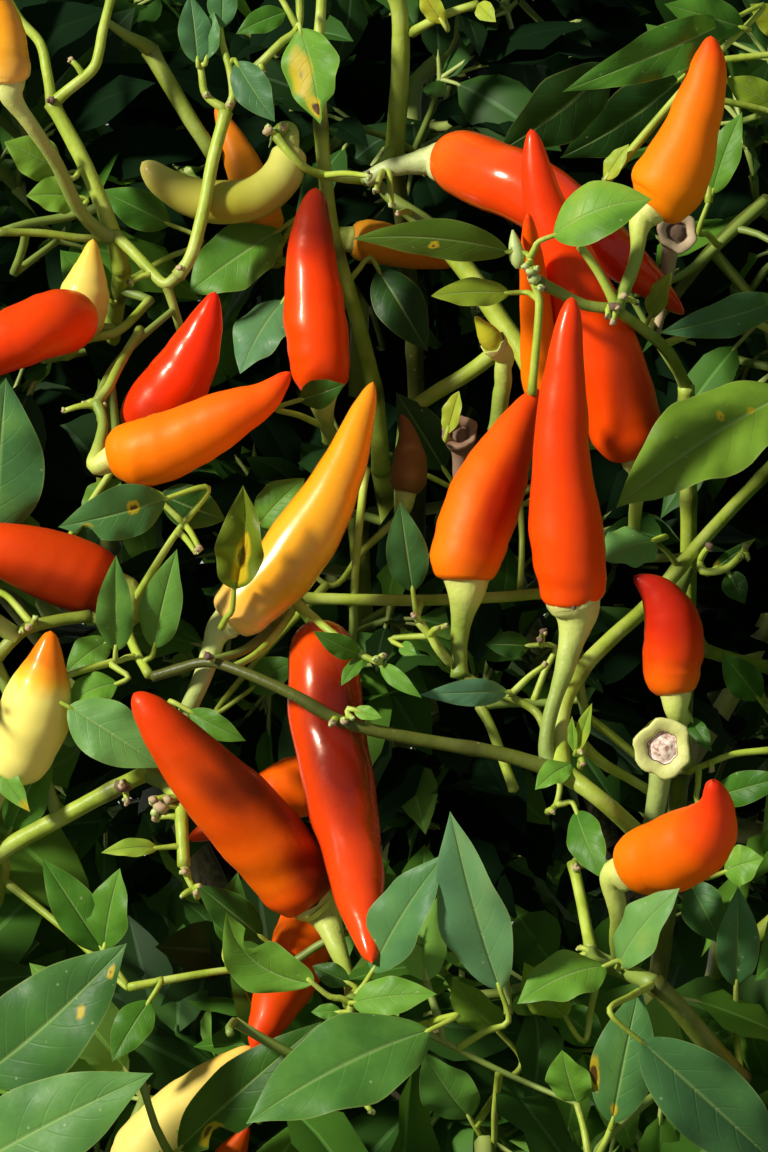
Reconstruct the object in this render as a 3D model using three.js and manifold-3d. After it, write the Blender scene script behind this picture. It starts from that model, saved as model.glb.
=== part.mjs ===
// A bushy chilli pepper plant, rooted in the ground. Millimetres, +Z up.
// The origin is the middle of the flat cut under the stem, at ground level.
// The viewer of the plant's front stands on the -Y side.
import * as THREE from "three";
import { mergeVertices } from "three/addons/utils/BufferGeometryUtils.js";
import Module from "manifold-3d";

const wasm = await Module();
wasm.setup();

// ---- driving sizes -------------------------------------------------------
const STEM_HEIGHT = 96; // ground to the first fork
const STEM_LEAN = [8, -6]; // how far the fork stands off the root, in x and y
const STEM_RADIUS = [7.2, 5.6]; // above the flare, and at the fork
const FLARE = 6.4; // extra radius where the stem meets the ground
const FLARE_HEIGHT = 11; // the flare has gone after about three of these
const FLARE_RIBS = 5; // the roots that start under the stem
const JOINT_GAP = 0.35; // between a limb and the one that carries it
const LEAF_CLEARANCE = 0.8; // between foliage and the limbs that enter it
const MASS_GAP = 7; // open space between two masses of foliage
const BOUGH_SIDES = 8;
const LIMB_SIDES = 6;
const MASS_DETAIL = 3; // subdivisions of the ball that a mass starts as
const SMALL_MASS_DETAIL = 2; // for the skirt and the smallest masses
const MASS_SPREAD = 1.02; // the masses crowd each other, up to the gap
const SPRAYS = 17; // bumps and hollows on each mass
const LUMPINESS = 0.26; // how far a bump stands out, as a share of the radius
const UNDERSIDE = 0.86; // height of a mass below its middle, against above it

// ---- limbs ---------------------------------------------------------------
// Each limb starts on its parent, at a share of the parent's length, and ends
// at its tip. bow moves its middle. Radii are at its foot and at its tip.
const limb = (name, parent, at, tip, bow, radii) => ({ name, parent, at, tip, bow, radii });

const LIMBS = [
  // five boughs from the fork
  limb("bough_front_right", "stem", 0.95, [54, -56, 206], [6, -6, -7], [4.5, 3.6]),
  limb("bough_front_left", "stem", 0.84, [-60, -58, 194], [-7, -6, -8], [4.3, 3.4]),
  limb("bough_back_left", "stem", 1, [-56, 54, 212], [-5, 6, -8], [4.0, 3.2]),
  limb("bough_back_right", "stem", 0.9, [68, 50, 200], [8, 5, -8], [4.1, 3.2]),
  limb("bough_centre", "stem", 1, [2, 2, 232], [-3, 3, 2], [4.3, 3.3]),
  // the front right bough climbs to the fork that carries the two long arms
  limb("limb_right_rise", "bough_front_right", 1, [64, -88, 286], [5, -2, -3], [3.1, 2.6]),
  limb("limb_right_upper", "limb_right_rise", 1, [29.6, -101.3, 334.6], [2, -2, 2], [2.5, 2.1]),
  limb("limb_right_arm", "limb_right_upper", 1, [86, -17, 353], [-2, -1, 3], [1.9, 1.3]),
  limb("limb_cross", "limb_right_upper", 0.97, [-47.3, -84.5, 342.1], [0, -6.5, 3.5], [1.6, 1.0]),
  limb("limb_right_top", "bough_front_right", 0.96, [58, -14, 352], [4, 3, -4], [2.1, 1.5]),
  limb("limb_right_low", "bough_front_right", 0.8, [98, -116, 226], [4, -4, -6], [2.6, 1.7]),
  limb("limb_right_front_crown", "limb_right_rise", 0.72, [92, -80, 306], [3, 3, -3], [1.9, 1.5]),
  limb("limb_right_skirt", "bough_front_right", 0.5, [92, -44, 158], [4, 2, -6], [2.3, 1.6]),
  // the front left bough
  limb("limb_left_rise", "bough_front_left", 1, [-92, -104, 290], [-5, -3, -4], [3.0, 2.3]),
  limb("limb_left_front_crown", "limb_left_rise", 0.78, [-96, -80, 310], [-3, 3, -3], [1.8, 1.4]),
  limb("limb_left_cross", "limb_left_rise", 1, [-39.6, -92, 330], [2, -2.5, 3], [2.0, 1.4]),
  limb("limb_left_low", "bough_front_left", 0.85, [-130, -40, 242], [-4, -3, -6], [2.6, 1.7]),
  limb("limb_left_skirt", "bough_front_left", 0.55, [-92, -36, 158], [-4, 2, -6], [2.3, 1.6]),
  limb("limb_front_low", "bough_front_left", 0.62, [0, -134, 264], [6, -9, -8], [2.6, 1.7]),
  limb("limb_front_skirt", "limb_front_low", 0.3, [6, -108, 184], [3, -4, -6], [1.9, 1.4]),
  // the back left bough
  limb("limb_left_top", "bough_back_left", 1, [-50.5, 4, 366], [-5, 3, 3], [2.4, 1.7]),
  limb("limb_left_crown", "bough_back_left", 0.94, [-86, 30, 316], [-5, -2, -4], [2.4, 1.7]),
  limb("limb_back_left_out", "bough_back_left", 0.88, [-104, 90, 250], [-4, 4, -6], [2.6, 1.7]),
  limb("limb_back_left_skirt", "bough_back_left", 0.45, [-52, 82, 160], [-2, 5, -5], [2.3, 1.6]),
  // the back right bough
  limb("limb_back_right_out", "bough_back_right", 1, [104, 96, 256], [4, 3, -4], [2.8, 1.8]),
  limb("limb_right_side", "bough_back_right", 0.86, [138, -8, 244], [5, -3, -7], [2.6, 1.7]),
  limb("limb_right_crown", "bough_back_right", 0.95, [92, 32, 318], [5, -2, -4], [2.4, 1.7]),
  limb("limb_back_out", "bough_back_right", 0.72, [14, 134, 256], [-3, 9, -4], [2.5, 1.7]),
  limb("limb_back_right_skirt", "bough_back_right", 0.42, [66, 80, 148], [2, 5, -5], [2.3, 1.6]),
  // the centre bough
  limb("limb_centre_rise", "bough_centre", 1, [-0.5, 3, 318], [3, -2, 0], [2.5, 1.9]),
  limb("limb_centre_upper", "limb_centre_rise", 1, [-12.5, 26, 393], [1, -3, 0], [1.7, 1.3]),
  limb("limb_centre_back", "bough_centre", 0.97, [2, 31, 374], [5, 6, 0], [2.0, 1.6]),
  limb("limb_back_crown", "bough_centre", 0.9, [-4, 66, 330], [-4, 6, -6], [2.4, 1.8]),
];

// ---- masses of foliage ---------------------------------------------------
// [name, centre, radii]: the top of the crown, its widest ring, its skirt.
const MASSES = [
  ["mass_top_back", [-4, 80, 366], [54, 44, 50]],
  ["mass_top_left", [-100, 26, 350], [46, 52, 46]],
  ["mass_top_right", [104, 30, 358], [48, 52, 50]],
  ["mass_top_left_front", [-98, -72, 330], [36, 40, 38]],
  ["mass_top_right_front", [104, -74, 334], [38, 40, 40]],
  ["mass_front", [6, -150, 288], [60, 44, 44]],
  ["mass_heart", [4, 10, 272], [58, 60, 42]],
  ["mass_ring_front_left", [-92, -140, 244], [50, 46, 50]],
  ["mass_ring_left", [-168, -26, 262], [48, 56, 54]],
  ["mass_ring_back_left", [-124, 106, 270], [54, 52, 54]],
  ["mass_ring_back", [4, 166, 272], [62, 44, 58]],
  ["mass_ring_back_right", [130, 104, 266], [54, 54, 54]],
  ["mass_ring_right", [172, -18, 258], [46, 58, 54]],
  ["mass_ring_front_right", [106, -136, 240], [52, 48, 50]],
  ["mass_skirt_front", [2, -132, 180], [56, 42, 46]],
  ["mass_skirt_left", [-118, -32, 158], [50, 58, 46]],
  ["mass_skirt_back_left", [-62, 104, 160], [56, 46, 48]],
  ["mass_skirt_back_right", [76, 98, 152], [52, 48, 46]],
  ["mass_skirt_right", [120, -42, 160], [50, 56, 46]],
];

// ---- manifold helpers ----------------------------------------------------
function solidOf(geometry) {
  const bare = geometry.clone();
  bare.deleteAttribute("normal");
  bare.deleteAttribute("uv");
  const g = mergeVertices(bare, 1e-4);
  return new wasm.Manifold(
    new wasm.Mesh({
      numProp: 3,
      vertProperties: new Float32Array(g.attributes.position.array),
      triVerts: new Uint32Array(g.index.array),
    }),
  );
}

// The largest body of a solid, so that a cut leaves no crumbs.
function largest(solid) {
  return solid.decompose().reduce((a, b) => (b.volume() > a.volume() ? b : a));
}

function geometryOf(solid) {
  const m = solid.getMesh();
  const positions = new Float32Array(m.numVert * 3);
  for (let i = 0; i < m.numVert; i++)
    positions.set(m.vertProperties.subarray(i * m.numProp, i * m.numProp + 3), i * 3);
  const g = new THREE.BufferGeometry();
  g.setAttribute("position", new THREE.BufferAttribute(positions, 3));
  g.setIndex(new THREE.BufferAttribute(new Uint32Array(m.triVerts), 1));
  g.computeVertexNormals();
  return g;
}

// ---- limbs: a cylinder laid along a curve, with a radius for each place ---
function alongCurve(curve, radiusAt, sides, steps) {
  const g = new THREE.CylinderGeometry(1, 1, 1, sides, steps, false);
  const frames = curve.computeFrenetFrames(steps, false);
  const p = g.attributes.position;
  for (let i = 0; i < p.count; i++) {
    const t = p.getY(i) + 0.5;
    const k = Math.min(steps, Math.max(0, Math.round(t * steps)));
    const angle = Math.atan2(p.getZ(i), p.getX(i));
    const reach = Math.hypot(p.getX(i), p.getZ(i)) * radiusAt(t, angle);
    const at = curve.getPointAt(k / steps);
    at.addScaledVector(frames.normals[k], Math.cos(angle) * reach);
    at.addScaledVector(frames.binormals[k], -Math.sin(angle) * reach);
    p.setXYZ(i, at.x, at.y, at.z);
  }
  return g;
}

const stemCurve = new THREE.QuadraticBezierCurve3(
  new THREE.Vector3(0, 0, 0),
  new THREE.Vector3(0, 0, STEM_HEIGHT * 0.55),
  new THREE.Vector3(STEM_LEAN[0], STEM_LEAN[1], STEM_HEIGHT),
);

function stemRadius(t, angle, extra = 0) {
  const z = t * STEM_HEIGHT;
  const ribs = 1 + 0.3 * Math.cos(FLARE_RIBS * angle + 0.6) + 0.16 * Math.cos(2 * angle + 1.9);
  const taper = STEM_RADIUS[0] + (STEM_RADIUS[1] - STEM_RADIUS[0]) * t;
  return taper + FLARE * ribs * Math.exp(-z / FLARE_HEIGHT) + extra;
}

const curves = { stem: stemCurve };
for (const l of LIMBS) {
  const foot = curves[l.parent].getPointAt(l.at);
  const tip = new THREE.Vector3(...l.tip);
  const middle = foot.clone().add(tip).multiplyScalar(0.5);
  const bow = new THREE.Vector3(...l.bow).multiplyScalar(2);
  curves[l.name] = new THREE.QuadraticBezierCurve3(foot, middle.add(bow), tip);
}

function stemSolid(extra) {
  return solidOf(
    alongCurve(stemCurve, (t, a) => stemRadius(t, a, extra), 15, 9),
  );
}

// extra makes a fatter copy, which is what a neighbour is cut by
function limbSolid(l, extra) {
  const steps = Math.max(3, Math.round(curves[l.name].getLength() / 30));
  const radius = (t) => l.radii[0] + (l.radii[1] - l.radii[0]) * t + extra;
  const sides = l.name.startsWith("bough") ? BOUGH_SIDES : LIMB_SIDES;
  return solidOf(alongCurve(curves[l.name], radius, sides, steps));
}

const limbSolids = new Map([["stem", stemSolid(0)]]);
const limbTools = new Map([["stem", stemSolid(JOINT_GAP)]]);
for (const l of LIMBS) {
  let made = limbSolid(l, 0);
  for (const tool of limbTools.values()) made = made.subtract(tool);
  limbSolids.set(l.name, largest(made));
  limbTools.set(l.name, limbSolid(l, JOINT_GAP));
}

// ---- masses: a lumpy ball, kept on its own side of its neighbours ---------
// Sprays of leaves stand out as bumps and leave hollows between them. Their
// directions are spread over the ball, turned a little for each mass.
function spraysOf(index) {
  const sprays = [];
  for (let k = 0; k < SPRAYS; k++) {
    const wobble = (n) => Math.sin(12.9898 * (index + 1) + 78.233 * (k + 1) + 37.719 * n);
    const height = 1 - (2 * (k + 0.5)) / SPRAYS + 0.12 * wobble(1);
    const round = k * 2.39996 + index * 1.3 + 0.35 * wobble(2);
    const flat = Math.sqrt(Math.max(0, 1 - height * height));
    sprays.push({
      u: new THREE.Vector3(flat * Math.cos(round), flat * Math.sin(round), height).normalize(),
      out: (k % 3 === 2 ? -0.8 : 1) * LUMPINESS * (0.7 + 0.5 * wobble(3)),
      width: 0.42 + 0.12 * wobble(4),
    });
  }
  return sprays;
}

function lumps(u, sprays) {
  return sprays.reduce((sum, s) => sum + s.out * Math.exp(-((u.angleTo(s.u) / s.width) ** 2)), 0);
}

// Half of a mass's size in one direction. Its underside is flatter than its top.
function reachOf(radii, u) {
  const z = u.z < 0 ? radii[2] * UNDERSIDE : radii[2];
  return MASS_SPREAD / Math.hypot(u.x / radii[0], u.y / radii[1], u.z / z);
}

function massSolid(index) {
  const [name, centre, radii] = MASSES[index];
  const small = name.includes("skirt") || Math.min(...radii) < 40;
  const c = new THREE.Vector3(...centre);
  const sprays = spraysOf(index);
  const walls = MASSES.filter((_, j) => j !== index).map(([, otherCentre, otherRadii]) => {
    const n = new THREE.Vector3(...otherCentre).sub(c);
    const apart = n.length();
    n.normalize();
    const mine = reachOf(radii, n);
    const theirs = reachOf(otherRadii, n);
    return { n, distance: (apart * mine) / (mine + theirs) - MASS_GAP / 2 };
  });
  const g = mergeVertices(
    (() => {
      const ball = new THREE.IcosahedronGeometry(1, small ? SMALL_MASS_DETAIL : MASS_DETAIL);
      ball.deleteAttribute("normal");
      ball.deleteAttribute("uv");
      return ball;
    })(),
    1e-5,
  );
  const p = g.attributes.position;
  const u = new THREE.Vector3();
  for (let i = 0; i < p.count; i++) {
    u.fromBufferAttribute(p, i).normalize();
    let reach = reachOf(radii, u) * (1 + lumps(u, sprays));
    for (const w of walls) {
      const facing = u.dot(w.n);
      if (facing > 0.05) reach = Math.min(reach, w.distance / facing);
    }
    p.setXYZ(i, c.x + u.x * reach, c.y + u.y * reach, c.z + u.z * reach);
  }
  let made = solidOf(g);
  const box = made.boundingBox();
  for (const l of LIMBS) {
    const b = limbSolids.get(l.name).boundingBox();
    if ([0, 1, 2].some((k) => b.min[k] > box.max[k] + 2 || b.max[k] < box.min[k] - 2)) continue;
    made = made.subtract(limbSolid(l, LEAF_CLEARANCE));
  }
  return largest(made);
}

// ---- the plant -----------------------------------------------------------
const woody = new THREE.MeshStandardMaterial({ color: 0x6f6040, roughness: 0.85, metalness: 0 });
const green = new THREE.MeshStandardMaterial({ color: 0x7f9a3a, roughness: 0.6, metalness: 0 });
const leafy = new THREE.MeshStandardMaterial({ color: 0x2f6a28, roughness: 0.55, metalness: 0 });

const plant = new THREE.Group();
plant.name = "chilli_pepper_plant";

for (const [name, solid] of limbSolids) {
  const mesh = new THREE.Mesh(
    geometryOf(solid),
    name === "stem" || name.startsWith("bough") ? woody : green,
  );
  mesh.name = name;
  plant.add(mesh);
}
MASSES.forEach(([name], index) => {
  const mesh = new THREE.Mesh(geometryOf(massSolid(index)), leafy);
  mesh.name = name;
  plant.add(mesh);
});

export default plant;
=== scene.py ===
"""The looks of a bushy chilli pepper plant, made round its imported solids.

Lengths are in millimetres until a mesh is made. Some pieces are placed as the
front view shows them: at() turns a place in that view, with a depth, into a
place on the plant.
"""

import math

import bpy
import numpy as np
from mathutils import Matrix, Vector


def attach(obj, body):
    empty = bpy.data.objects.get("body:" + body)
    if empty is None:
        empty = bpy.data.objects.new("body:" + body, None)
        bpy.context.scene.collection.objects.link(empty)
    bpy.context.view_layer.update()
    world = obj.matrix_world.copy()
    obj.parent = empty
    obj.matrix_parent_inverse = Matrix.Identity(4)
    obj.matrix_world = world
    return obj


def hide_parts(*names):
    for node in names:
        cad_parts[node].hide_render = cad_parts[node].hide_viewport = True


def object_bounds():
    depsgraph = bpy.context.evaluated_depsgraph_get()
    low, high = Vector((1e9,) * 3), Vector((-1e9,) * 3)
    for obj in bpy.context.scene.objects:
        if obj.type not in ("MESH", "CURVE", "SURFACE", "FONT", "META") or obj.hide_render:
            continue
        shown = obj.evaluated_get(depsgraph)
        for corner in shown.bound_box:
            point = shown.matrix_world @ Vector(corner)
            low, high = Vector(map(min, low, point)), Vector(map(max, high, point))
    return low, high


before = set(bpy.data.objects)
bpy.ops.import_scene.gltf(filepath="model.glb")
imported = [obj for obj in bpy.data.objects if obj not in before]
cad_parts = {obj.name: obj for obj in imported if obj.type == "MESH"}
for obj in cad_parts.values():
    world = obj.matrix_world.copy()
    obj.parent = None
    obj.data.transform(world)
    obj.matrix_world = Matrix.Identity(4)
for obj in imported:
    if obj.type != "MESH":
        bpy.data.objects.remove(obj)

CAD_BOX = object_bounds()
MM = 0.001

# ---------------------------------------------------------------- front view
PITCH = math.radians(40)
FOCUS = np.array([0.0, -80.0, 360.0])
DISTANCE = 750.0
FOCAL = 4200.0  # in pixels of the 768 x 1152 image
FORWARD = np.array([0.0, math.cos(PITCH), -math.sin(PITCH)])
UP = np.array([0.0, math.sin(PITCH), math.cos(PITCH)])
RIGHT = np.array([1.0, 0.0, 0.0])
TO_LIGHT = np.array([-0.72, -0.14, 0.68])
TO_LIGHT /= np.linalg.norm(TO_LIGHT)
EYE = FOCUS - DISTANCE * FORWARD


def at(px, py, depth=0.0):
    """The place on the plant that the front view shows at (px, py)."""
    k = (DISTANCE + depth) / FOCAL
    return FOCUS + RIGHT * (px - 384) * k + UP * (576 - py) * k + FORWARD * depth


def seen(p):
    """at() the other way round, for one place or for many."""
    r = np.asarray(p, float) - EYE
    z = r @ FORWARD
    return 384 + (r @ RIGHT) / z * FOCAL, 576 - (r @ UP) / z * FOCAL, z - DISTANCE


def unit(v):
    v = np.asarray(v, float)
    return v / np.maximum(np.linalg.norm(v, axis=-1, keepdims=True), 1e-9)


# ------------------------------------------------------------------- shapes
class Pile:
    """Many small shapes, joined into one mesh. Faces hold a material's number."""

    NAMES = ("along", "age", "tone", "lu", "lv", "ill")

    def __init__(self):
        self.points, self.quads, self.tris = [], [], []
        self.quad_mats, self.tri_mats = [], []
        self.facts = {n: [] for n in self.NAMES}
        self.count = 0

    def add(self, points, quads=None, tris=None, quad_mat=0, tri_mat=None, **facts):
        points = np.asarray(points, float).reshape(-1, 3)
        for faces, mats, mat, store, mat_store in (
            (quads, quad_mat, quad_mat, self.quads, self.quad_mats),
            (tris, tri_mat, quad_mat, self.tris, self.tri_mats),
        ):
            if faces is None or not len(faces):
                continue
            if mats is None:
                mats = mat
            store.append(np.asarray(faces, np.int64) + self.count)
            mat_store.append(np.broadcast_to(np.asarray(mats), (len(faces),)).astype(np.int32))
        for n in self.NAMES:
            self.facts[n].append(
                np.broadcast_to(np.asarray(facts.get(n, 0.0), float).ravel(), (len(points),))
            )
        self.points.append(points)
        self.count += len(points)

    def triangles(self):
        return 2 * sum(map(len, self.quads)) + sum(map(len, self.tris))

    def piece(self, name, materials, keep=(), uv=None):
        """Makes the mesh, in metres. keep names the facts that it carries."""
        points = np.concatenate(self.points) * MM
        quads = np.concatenate(self.quads) if self.quads else np.zeros((0, 4), np.int64)
        tris = np.concatenate(self.tris) if self.tris else np.zeros((0, 3), np.int64)
        mats = np.concatenate(self.quad_mats + self.tri_mats)
        loops = np.concatenate([quads.ravel(), tris.ravel()])
        starts = np.concatenate(
            [np.arange(len(quads)) * 4, len(quads) * 4 + np.arange(len(tris)) * 3]
        )
        mesh = bpy.data.meshes.new(name)
        mesh.vertices.add(len(points))
        mesh.vertices.foreach_set("co", points.astype(np.float32).ravel())
        mesh.loops.add(len(loops))
        mesh.loops.foreach_set("vertex_index", loops.astype(np.int32))
        mesh.polygons.add(len(starts))
        mesh.polygons.foreach_set("loop_start", starts.astype(np.int32))
        mesh.polygons.foreach_set("material_index", mats)
        mesh.polygons.foreach_set("use_smooth", np.ones(len(starts), bool))
        mesh.update(calc_edges=True)
        for n in keep:
            mesh.attributes.new(n, "FLOAT", "POINT").data.foreach_set(
                "value", np.concatenate(self.facts[n]).astype(np.float32)
            )
        if uv is not None:
            layer = mesh.uv_layers.new(name="OFBake")
            layer.data.foreach_set("uv", uv[loops].astype(np.float32).ravel())
        mesh.validate()
        ob = bpy.data.objects.new(name, mesh)
        bpy.context.scene.collection.objects.link(ob)
        for m in materials:
            mesh.materials.append(m)
        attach(ob, "root")
        return ob


def smooth(points, step=2.0):
    """A smooth line through the points, with a point about every step."""
    p = np.asarray(points, float)
    if len(p) == 2:
        n = max(2, int(np.ceil(np.linalg.norm(p[1] - p[0]) / step)))
        return p[0] + (p[1] - p[0]) * np.linspace(0, 1, n + 1)[:, None]
    e = np.vstack([2 * p[0] - p[1], p, 2 * p[-1] - p[-2]])
    out = []
    for i in range(1, len(e) - 2):
        a, b, c, d = e[i - 1 : i + 3]
        n = max(2, int(np.ceil(np.linalg.norm(c - b) / step)))
        t = np.linspace(0, 1, n, endpoint=False)[:, None]
        out.append(
            0.5
            * (
                2 * b
                + (c - a) * t
                + (2 * a - 5 * b + 4 * c - d) * t**2
                + (3 * b - a - 3 * c + d) * t**3
            )
        )
    return np.vstack(out + [p[-1:]])


def lengths(path):
    return np.concatenate([[0], np.cumsum(np.linalg.norm(np.diff(path, axis=0), axis=1))])


def carried(path):
    """Tangents and two side directions that turn with the path and don't spin."""
    t = unit(np.gradient(path, axis=0))
    start = np.array([0.0, 0.0, 1.0]) if abs(t[0, 2]) < 0.9 else np.array([1.0, 0.0, 0.0])
    n = np.zeros_like(path)
    v = np.cross(t[0], start)
    for i in range(len(path)):
        v = v - t[i] * (v @ t[i])
        v = v / max(np.linalg.norm(v), 1e-9)
        n[i] = v
    return t, n, np.cross(t, n)


def skin(pile, path, radii, sides, relief=None, ends=(False, True), mat=0, dome=0.0, **facts):
    """A tube of any radii along a path. relief multiplies the radius at each
    ring and angle. A closed end is a fan, pushed out by dome times the radius."""
    path = np.asarray(path, float)
    radii = np.broadcast_to(np.asarray(radii, float), (len(path),))
    t, n, b = carried(path)
    a = np.linspace(0, 2 * math.pi, sides, endpoint=False)
    r = radii[:, None] * np.ones(sides)
    if relief is not None:
        r = r * relief
    rings = path[:, None] + r[..., None] * (
        np.cos(a)[None, :, None] * n[:, None] + np.sin(a)[None, :, None] * b[:, None]
    )
    points = rings.reshape(-1, 3)
    k = np.arange(sides)
    row = np.arange(len(path) - 1)[:, None] * sides
    quads = np.stack(
        [row + k, row + (k + 1) % sides, row + sides + (k + 1) % sides, row + sides + k], -1
    ).reshape(-1, 4)
    tris = []
    extra = []
    if ends[0]:
        extra.append(path[0] - t[0] * radii[0] * dome)
        c = len(points) + len(extra) - 1
        tris.append(np.stack([np.full(sides, c), (k + 1) % sides, k], -1))
    if ends[1]:
        extra.append(path[-1] + t[-1] * radii[-1] * dome)
        c = len(points) + len(extra) - 1
        base = (len(path) - 1) * sides
        tris.append(np.stack([np.full(sides, c), base + k, base + (k + 1) % sides], -1))
    s = lengths(path)
    share = s / max(s[-1], 1e-9)
    spread = {"along": share}
    spread.update(facts)
    full = {}
    for name, value in spread.items():
        value = np.asarray(value, float)
        if value.ndim == 0:
            full[name] = np.full(len(points) + len(extra), float(value))
            continue
        v = value if value.ndim == 2 else np.repeat(value[:, None], sides, 1)
        flat = v.ravel()
        tails = ([v[0].mean()] if ends[0] else []) + ([v[-1].mean()] if ends[1] else [])
        full[name] = np.concatenate([flat, tails])
    quad_mat = mat
    if np.ndim(mat) == 1:  # one material for each ring
        quad_mat = np.repeat(np.asarray(mat)[:-1], sides)
    pile.add(
        np.vstack([points] + [e[None] for e in extra]),
        quads,
        np.concatenate(tris) if tris else None,
        quad_mat,
        (np.asarray(mat)[-1] if np.ndim(mat) == 1 else mat),
        **full,
    )


def wobble(shape, seed, octaves=((3, 2, 1.0), (7, 5, 0.6), (15, 9, 0.35))):
    """Smooth unevenness on rings and angles, about -1 to 1. Each octave is
    waves along, waves round, weight."""
    r = np.random.default_rng(seed)
    u = np.linspace(0, 1, shape[0])[:, None]
    a = np.linspace(0, 2 * math.pi, shape[1], endpoint=False)[None]
    out = np.zeros(shape)
    for f, g, w in octaves:
        for _ in range(2):
            m = r.integers(0, g + 1)
            out += (
                w
                * 0.5
                * np.cos(2 * math.pi * f * r.uniform(0.6, 1.3) * u + m * a + r.uniform(0, 6.28))
            )
    return out


# A leaf of a chilli plant: narrow at the stalk, widest before the middle, and
# drawn out to a point.
def leaf_width(u, blunt=0.0):
    w = u**0.72 * (1 - u) ** (1.12 - 0.4 * blunt)
    peak = 0.72 / (0.72 + 1.12 - 0.4 * blunt)
    return w / (peak**0.72 * (1 - peak) ** (1.12 - 0.4 * blunt))


def leaf(
    pile,
    base,
    tip,
    side,
    width,
    rows=6,
    cols=6,
    fold=0.25,
    arch=0.08,
    curl=0.0,
    sickle=0.0,
    wave=0.05,
    quilt=0.0,
    blunt=0.0,
    bites=(),
    mats=(0, 1),
    rng=None,
    midrib=1,
    marks=(),
    shades_=(),
    **facts,
):
    """One leaf from its base to its tip. side points to its right edge. fold
    lifts the two halves, arch bows it up in the middle, sickle bends it
    sideways, and each bite (u, side, size, depth) eats into an edge."""
    base, tip = np.asarray(base, float), np.asarray(tip, float)
    length = np.linalg.norm(tip - base)
    ax = unit(tip - base)
    side = unit(side - ax * (side @ ax))
    up = np.cross(ax, side)
    phase = rng.uniform(0, 6.28, 4) if rng is not None else np.zeros(4)
    u = np.linspace(0, 1, rows + 1)
    u = u + 0.06 * np.sin(2 * math.pi * u) * -1
    v = np.linspace(-1, 1, cols + 1)
    if midrib and cols >= 6:
        centre = 0.07 if cols < 10 else 0.035
        half = cols // 2
        outer = centre + (1 - centre) * np.linspace(0, 1, half)
        v = np.concatenate([-outer[::-1], [0.0], outer])
    cols = len(v) - 1
    half_width = 0.5 * width * leaf_width(u, blunt)
    wide = half_width[:, None] * np.ones(len(v))
    for bu, bside, bsize, bdepth in bites:
        here = np.exp(-(((u - bu) / bsize) ** 4))[:, None]
        wide = wide * np.where(np.sign(v)[None] == bside, 1 - bdepth * here, 1.0)
    y = wide * v[None]
    x = u[:, None] * length * np.ones(len(v))
    x = x + 0.10 * width * (np.abs(v)[None] ** 1.5) * (leaf_width(u, blunt)[:, None]) * 0.6
    x = np.minimum(x, length)
    y = y + sickle * length * (4 * u * (1 - u))[:, None]
    spread = np.abs(v)[None] * half_width[:, None]
    z = fold * spread * (1 - 0.35 * np.abs(v)[None]) + arch * length * (4 * u * (1 - u))[:, None]
    z = z - curl * spread * v[None] ** 2
    ripple = np.where(
        v[None] < 0,
        np.sin(2 * math.pi * 2.2 * u[:, None] + phase[0]),
        np.sin(2 * math.pi * 2.7 * u[:, None] + phase[1]),
    )
    z = z + wave * half_width[:, None] * ripple * v[None] ** 2 * 1.6
    if quilt:
        rib = 6.5 * u[:, None] - 1.5 * np.abs(v)[None]
        z = z + quilt * half_width[:, None] * (0.5 - np.abs(np.sin(math.pi * rib))) * -1 * (
            np.abs(v)[None] * (1.15 - np.abs(v)[None]) * 2.2
        )
    pts = base + x[..., None] * ax + y[..., None] * side + z[..., None] * up
    inner = pts[1:-1].reshape(-1, 3)
    n = cols + 1
    points = np.vstack([pts[0, cols // 2][None], inner, pts[-1, cols // 2][None]])
    last = len(points) - 1
    c = np.arange(cols)
    r = np.arange(rows - 2)[:, None] * n + 1
    quads = np.stack([r + c, r + n + c, r + n + c + 1, r + c + 1], -1).reshape(-1, 4)
    first = 1 + (rows - 2) * n
    tris = np.concatenate(
        [
            np.stack([np.zeros(cols, int), 1 + c, 2 + c], -1),
            np.stack([np.full(cols, last), first + c + 1, first + c], -1),
        ]
    )
    is_rib = (c == cols // 2) | (c == cols // 2 - 1)
    rib_mat = np.where(is_rib & bool(midrib), mats[1], mats[0])
    lu = np.concatenate([[0], np.repeat(u[1:-1], n), [1]])
    lv = np.concatenate([[0], np.tile(v, rows - 1), [0]])
    # a mark is (u, v, reach along, reach across, how ill); a shades_ spot changes the tone: painted shade where it
    # darkens, painted light where it lightens
    for key, spots in (("ill", marks), ("tone", shades_)):
        if len(spots):
            value = np.full(len(lu), float(facts.get(key, 0.0)))
            for mu, mv, ru, rv, much in spots:
                value = value + much * np.exp(-(((lu - mu) / ru) ** 2) - ((lv - mv) / rv) ** 2)
            facts[key] = value
    pile.add(
        points,
        quads,
        tris,
        np.tile(rib_mat, rows - 2),
        np.tile(rib_mat, 2),
        lu=lu,
        lv=lv,
        **facts,
    )
    return points


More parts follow.
